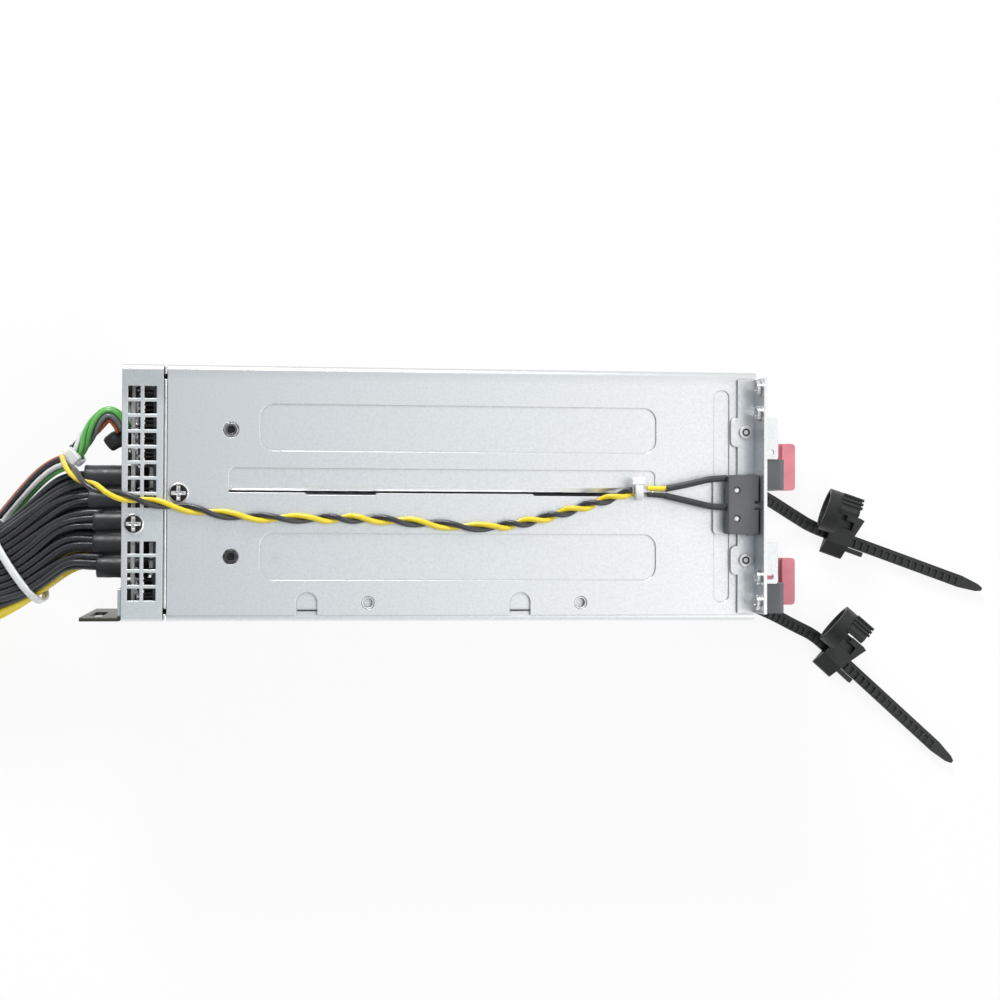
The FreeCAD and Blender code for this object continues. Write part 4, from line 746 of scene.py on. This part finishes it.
def sleeves():
    """Slightly wrinkled sleeves side by side, and a black filler tube in each valley between them,
    painted shade there.
    """
    bm = bmesh.new()
    rng = random.Random(5)
    for level in SLEEVE_ROWS:
        for i, end in enumerate(SLEEVE_ENDS):
            y = SLEEVE_FIRST_Y + SLEEVE_PITCH * i
            end += rng.uniform(-0.6, 0.6)
            stations = [(SLEEVE_ROOT + (end - SLEEVE_ROOT) * k / 9, 1.0 + rng.uniform(-0.025, 0.01))
                        for k in range(10)]
            stations += [(end - 0.35, 0.97), (end - 0.5, 0.9)]
            path = [Vector((x * MM, y * MM, level)) for x, _ in stations]
            sweep(bm, path, [SLEEVE_RADIUS * share for _, share in stations], 0, 24)
            if i < len(SLEEVE_ENDS) - 1:
                shaded_valley = [Vector((x * MM, (y + SLEEVE_PITCH / 2) * MM, level - 1.2 * MM))
                          for x in (SLEEVE_ROOT - 0.5, -108.0, end + 0.6)]
                sweep(bm, shaded_valley, 3.3 * MM, 0, 20)
    return cage_piece("sleeve_wraps", bm, [SLEEVE], "sleeve_black", "cable_sleeves")


trunk()


def ring_places(count, radius):
    """Places of wires around and inside a round bundle."""
    if count <= 4:
        return [(radius * 0.5 * math.cos(math.pi * (2 * i + 1) / count),
                 radius * 0.5 * math.sin(math.pi * (2 * i + 1) / count)) for i in range(count)]
    inner = max(1, count // 3) if count > 7 else 1
    places = []
    for ring, reach, begin in ((count - inner, 0.70, 0.0), (inner, 0.3 if inner > 1 else 0.0, 0.4)):
        for i in range(ring):
            turn = 2 * math.pi * i / ring + begin
            places.append((radius * reach * math.cos(turn), radius * reach * math.sin(turn)))
    return places


def branch(name, node, route, count, diameter, wire_radius, looks, slot, with_pieces,
           turn_at=None):
    """A cable of loose wires to its connector; turn_at gives the bundle's turn along it."""
    points = spline_points(route)
    along = lengths_along(points)
    axes = section_axes(points)
    rng = random.Random(len(name) * 31 + count)
    bm = bmesh.new()
    for i, (across, high) in enumerate(ring_places(count, diameter / 2)):
        drift_a, drift_b = Drift(rng, 0.0002, 0.06), Drift(rng, 0.00014, 0.05)
        path = []
        for point, distance, (side, up) in zip(points, along, axes):
            a, b = rolled(across, high, turn_at(distance) if turn_at else 0.0)
            a += drift_a.at(distance)
            b += drift_b.at(distance)
            path.append(point + side * a + up * b)
        sweep(bm, path, wire_radius, i % len(looks))
    obj = cage_piece(name, bm, looks, slot, node)


BRANCH_WIRE = 1.15 * MM
branch("main_wires", "main_cable", MAIN, 14, 0.011, BRANCH_WIRE,
       [BLACK_WIRE, YELLOW_WIRE, RED_WIRE, ORANGE_WIRE], "wire_mixed", ["main_connector"])
branch("processor_wires", "processor_cable", PROCESSOR, 8, 0.008, BRANCH_WIRE,
       [YELLOW_WIRE, BLACK_WIRE], "wire_yellow", ["processor_connector"])
branch("drive_wires", "drive_cable", DRIVE, 4, 0.0065, BRANCH_WIRE,
       [YELLOW_WIRE, BLACK_WIRE, BLACK_WIRE, RED_WIRE], "wire_mixed", ["drive_connector"])


def signal_turn(distance):
    """The signal wires turn half round between the cover and their tie."""
    return math.pi * (1 - smooth((distance - 0.008) / 0.024)) + 0.2


def small_tie(name, centre, way, half_wide, half_high, width, head_offset, head, rounding, *nodes):
    """A small tie round a thin bundle; the head's offset is across and above the bundle."""
    bm = bmesh.new()
    centre = Vector(centre) * MM
    side, up = tie_band(bm, centre, way, half_wide * MM, half_high * MM, width * MM, 0.8 * MM, 40)
    middle = centre + side * head_offset[0] * MM + up * head_offset[1] * MM
    block(bm, middle, [size * MM for size in head], frame_of(way, up), rounding * MM)
    return cage_piece(name, bm, [TIE], "tie_white", *nodes)


LEAD_TIE = small_tie("lead_tie", (64.4, 1.7, 81.9), (1.0, 0.06, 0.05), 2.5, 1.75, 2.7,
                     (3.1, 0.9), (4.6, 2.6, 3.0), 0.4, "lead_ties")
SIGNAL_TIE = small_tie("signal_tie", (-123.6, 13.0, 50.2), (-0.70, -0.66, -0.26), 3.3, 3.0, 2.8,
                       (0.0, 4.4), (4.9, 5.2, 3.0), 0.45)


def signal_sleeve():
    """The short sleeve over the signal wires' root."""
    bm = bmesh.new()
    path = [Vector(p) * MM for p in ((-104.0, 19.5, 48.5), (-107.5, 19.4, 48.6),
                                     (-110.0, 18.4, 48.6), (-112.0, 17.0, 48.4),
                                     (-112.5, 16.6, 48.3))]
    sweep(bm, path, [radius * MM for radius in (3.1, 3.1, 3.0, 2.8, 2.4)], 0, 20)
    return cage_piece("signal_sleeve", bm, [SLEEVE], "sleeve_black")


branch("signal_wires", "signal_cable", SIGNAL, 7, 0.0056, 0.0009,
       [GREEN_WIRE, WHITE_WIRE, BLACK_WIRE, ORANGE_WIRE, GREY_WIRE, GREEN_WIRE, YELLOW_WIRE],
       "wire_mixed", ["signal_connector", SIGNAL_TIE, signal_sleeve()], signal_turn)


# Twisted pair from the switch
STRAND_RADIUS = 0.9 * MM
STRAND_CENTRE = STRAND_RADIUS + 0.02 * MM
# where along X, in millimetres, the yellow strand lies on top, from the switch to the signal wires
YELLOW_ON_TOP = [70.7, 57.0, 44.0, 30.3, 16.6, -6.5, -26.9, -43.3, -66.7, -89.7, -111.0, -126.0,
                 -140.0]


def twist(x):
    """The strands' turn, even between the places where the yellow one lies on top."""
    x = x / MM
    for count, (a, b) in enumerate(zip(YELLOW_ON_TOP, YELLOW_ON_TOP[1:])):
        if x > b:
            break
    return math.pi / 2 + 2 * math.pi * (count + (a - x) / (a - b))


def twisted_pair():
    points = spline_points(TWISTED, 14)
    bm = bmesh.new()
    for look in (0, 1):
        path = []
        for point, (side, up) in zip(points, section_axes(points)):
            turn = math.pi * look + twist(point.x)
            path.append(point + (side * math.cos(turn) + up * math.sin(turn)) * STRAND_CENTRE)
        sweep(bm, path, STRAND_RADIUS, look, 12)
    obj = cage_piece("twisted_wires", bm, [YELLOW_WIRE, BLACK_WIRE], "wire_yellow", "twisted_lead")


twisted_pair()


# Small trim on the cage, some of it only there for its look
WINDOW_PLACES = (-45.6 * MM, 25.1 * MM)
HOLE_LIGHT_PROFILE = ((1.12, 0.0), (1.12, 1.5), (1.0, 1.8), (0.6, 2.0), (0.15, 2.05))
BORE_SHADE_PROFILE = ((1.23, 0.0), (1.23, 0.6))


def turned_part(bm, centre, profile):
    """A part turned about an upright axis: (radius, height) pairs in mm, from foot to crown."""
    path = [Vector(centre) + Vector((0, 0, height * MM)) for _, height in profile]
    sweep(bm, path, [radius * MM for radius, _ in profile], 0, 24)


def painted_switch_holes():
    """White domes in the switch's two holes: painted light for the holes' pale look."""
    low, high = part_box("switch_body")
    x = low[0] + 2.8 * MM
    middle = (low[1] + high[1]) / 2
    bm = bmesh.new()
    for y in (middle + 4.75 * MM, middle - 4.75 * MM):
        turned_part(bm, (x, y, high[2] - 2.4 * MM), HOLE_LIGHT_PROFILE)
    cage_piece("painted_switch_holes", bm, [TIE], "tie_white")


def seam_bead():
    """The rolled edge of the rear cover beside the shell, broken by a notch near each end; its
    near-white metal is a painted highlight.
    """
    low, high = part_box("rear_cover")
    shell_low, shell_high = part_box("cage_shell")
    bm = bmesh.new()
    lengths = ((low[1] + 0.4 * MM, low[1] + 2.4 * MM), (low[1] + 4.2 * MM, high[1] - 4.8 * MM),
               (high[1] - 3.2 * MM, high[1] - 0.4 * MM))
    for y0, y1 in lengths:
        middle = Vector((shell_low[0] - 0.6 * MM, (y0 + y1) / 2, shell_high[2] - 0.75 * MM))
        block(bm, middle, (0.95 * MM, y1 - y0, 1.2 * MM), UNTURNED, 0.3 * MM)
    cage_piece("seam_bead", bm, [HIGHLIGHT_METAL], "case_steel")


def board_shield():
    """Black film round the foot of the distribution board: painted shade, the dark ground behind the
    vents.
    """
    low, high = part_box("distribution_board")
    board, edge = low[0], -102.6 * MM
    outline = [(board - 0.6 * MM, 30 * MM), (board - 0.6 * MM, 3.4 * MM), (board - 1.4 * MM, 2.6 * MM),
               (edge, 2.6 * MM), (edge, 2.2 * MM), (board - 1.2 * MM, 2.2 * MM),
               (board - 0.2 * MM, 3.2 * MM), (board - 0.2 * MM, 30 * MM)]
    spans = ((low[1] + 1.5 * MM, -29.5 * MM), (-19.5 * MM, -18.0 * MM), (11.0 * MM, high[1] - 1.5 * MM))
    bm = bmesh.new()
    for span in spans:
        near, far = ([bm.verts.new((x, y, z)) for x, z in outline] for y in span)
        for k in range(len(outline)):
            following = (k + 1) % len(outline)
            bm.faces.new((near[k], near[following], far[following], far[k]))
        bm.faces.new(near)
        bm.faces.new(list(reversed(far)))
    cage_piece("board_shield", bm, [SHADE_BLACK], "connector_black")


def paint_beyond(bm, x, look):
    """Give the faces further to the rear than x another look."""
    for face in bm.faces:
        if face.calc_center_median().x < x:
            face.material_index = look


def board_pins():
    """Small random parts and a bright strip, for the mixed light and dark behind the vents."""
    low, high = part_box("distribution_board")
    board = low[0]
    rng = random.Random(23)
    bm = bmesh.new()
    y = low[1] + 3 * MM
    while y < high[1] - 3 * MM:
        reach = rng.uniform(4.4, 5.6) * MM
        z = high[2] - rng.uniform(4.0, 9.0) * MM
        beside_harness = -30 * MM < y < 12 * MM
        if not beside_harness or rng.random() < 0.6:
            stem = Vector((board - reach / 2, y, z))
            block(bm, stem, (reach, 0.7 * MM, 0.6 * MM), UNTURNED, 0.1 * MM)
            for _ in range(rng.choice((1, 1, 2))):
                x = board - reach - rng.uniform(-0.2, 0.9) * MM
                tip = Vector((x, y + rng.uniform(-0.4, 0.4) * MM, z))
                size = (rng.uniform(0.4, 1.3) * MM, rng.uniform(0.4, 1.1) * MM, 0.8 * MM)
                block(bm, tip, size, UNTURNED, 0.12 * MM, 1)
        y += rng.uniform(1.0, 1.9) * MM
    paint_beyond(bm, board - 4.3 * MM, 1)
    # the strip's near-white metal is a painted highlight
    strip = Vector((board - 7.35 * MM, (low[1] + high[1]) / 2, 58 * MM))
    block(bm, strip, (1.5 * MM, high[1] - low[1] - 4 * MM, 0.8 * MM), UNTURNED, 0.2 * MM, 2)
    paint_beyond(bm, board - 6.59 * MM, 2)
    cage_piece("board_pins", bm, [SHADE_BLACK, TINNED, HIGHLIGHT_METAL], "copper_tin")


def screw_seats():
    """Raised seats round the cross-head screws, in near-white metal that is partly a painted highlight.
    """
    bm = bmesh.new()
    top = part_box("cage_shell")[1][2]
    for x, y in SCREW_PLACES:
        centre = Vector((x, y, top - 0.05 * MM))
        turns = [2 * math.pi * k / 40 for k in range(41)]
        path = [centre + Vector((math.cos(a), math.sin(a), 0)) * 3.02 * MM for a in turns]
        sweep(bm, path, 0.4 * MM, 0, 10)
    cage_piece("screw_seats", bm, [HIGHLIGHT_METAL], "zinc_hardware")


def dark_gaps():
    """Painted shade: dark bars at the foot of the two arched windows, and discs that close the inserts'
    bores.
    """
    low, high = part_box("cage_shell")
    bm = bmesh.new()
    for x in WINDOW_PLACES:
        middle = Vector((x, low[1] + 1.55 * MM, high[2] - 0.12 * MM))
        block(bm, middle, (6.7 * MM, 0.45 * MM, 0.3 * MM), UNTURNED, 0.08 * MM)
    for x, y in INSERT_PLACES:
        turned_part(bm, (x, y, high[2] - 2.0 * MM), BORE_SHADE_PROFILE)
    cage_piece("dark_gaps", bm, [SHADE_BLACK], "connector_black")


painted_switch_holes()
seam_bead()
board_shield()
board_pins()
screw_seats()
dark_gaps()


# Floor and light
FLOOR_GLOW = 0.88
BRIGHT_WAY = (1.0, -0.1, 0.0)
REAR_TINT = (0.76, 0.89, 1.0)
FRONT_TINT = (1.0, 1.0, 0.985)


def floor_material():
    """Matt white that cameras and reflections see as a pale, plain background with a faint shadow."""
    material, shader = new_material("floor_white", (0.92, 0.92, 0.92), roughness=0.9, specular=0.1)
    tree = Tree(material)
    rays = tree.nodes.new("ShaderNodeLightPath").outputs
    seen = tree.maths("MAXIMUM", rays["Is Camera Ray"], rays["Is Glossy Ray"])
    seen = tree.maths("MAXIMUM", seen, rays["Is Transmission Ray"])
    glow = tree.nodes.new("ShaderNodeEmission")
    glow.inputs["Color"].default_value = (1, 1, 1, 1)
    glow.inputs["Strength"].default_value = 1.0
    mixed = tree.nodes.new("ShaderNodeMixShader")
    tree.links.new(tree.maths("MULTIPLY", seen, FLOOR_GLOW), mixed.inputs["Fac"])
    tree.links.new(shader.outputs["BSDF"], mixed.inputs[1])
    tree.links.new(glow.outputs["Emission"], mixed.inputs[2])
    tree.links.new(mixed.outputs["Shader"], tree.nodes["Material Output"].inputs["Surface"])
    return material


def add_floor():
    """A wide floor, and a round backdrop that low views see above it."""
    material = floor_material()
    bpy.ops.mesh.primitive_plane_add(size=40, location=(0, 0, -0.0002))
    floor = bpy.context.object
    floor.name = "floor"
    bpy.ops.mesh.primitive_cylinder_add(vertices=96, radius=12, depth=5, end_fill_type="NOTHING",
                                        location=(0, 0, 2.4))
    backdrop = bpy.context.object
    backdrop.name = "backdrop"
    for obj in (floor, backdrop):
        obj.data.materials.append(material)


def add_light(name, place, aim, size, power):
    """A round lamp aimed at a point."""
    data = bpy.data.lights.new(name, "AREA")
    data.shape = "DISK"
    data.size = size
    data.energy = power
    light = link(bpy.data.objects.new(name, data))
    light.location = place
    light.rotation_euler = (Vector(aim) - Vector(place)).to_track_quat("-Z", "Y").to_euler()


def studio_world():
    """Soft light, bright and white toward the front, dim and bluish toward the rear and horizon."""
    world = bpy.data.worlds.new("studio")
    world.use_nodes = True
    tree = Tree(world, "Generated")
    lean = tree.nodes.new("ShaderNodeVectorMath")
    lean.operation = "DOT_PRODUCT"
    lean.inputs[1].default_value = BRIGHT_WAY
    tree.links.new(tree.place, lean.inputs[0])
    lean = lean.outputs["Value"]
    level = tree.spread(lean, 0.15, 1.56, -0.36, 0.52)
    rise = tree.spread(tree.axis("Z"), 0.6, 1.0, 0.35, 0.8)
    background = tree.nodes["Background"]
    tree.links.new(tree.maths("MULTIPLY", level, rise), background.inputs["Strength"])
    tint = tree.mix(tree.spread(lean, 0.0, 1.0, -0.3, 0.3), REAR_TINT, FRONT_TINT)
    tree.links.new(tint, background.inputs["Color"])
    bpy.context.scene.world = world


add_floor()
add_light("key", (-0.3, 1.15, 0.8), (-0.1, 0, 0.03), 0.45, 15)
add_light("front", (0.9, -0.6, 1.1), (0, 0, 0), 0.8, 2.5)
studio_world()
bpy.context.scene.view_settings.view_transform = "Standard"
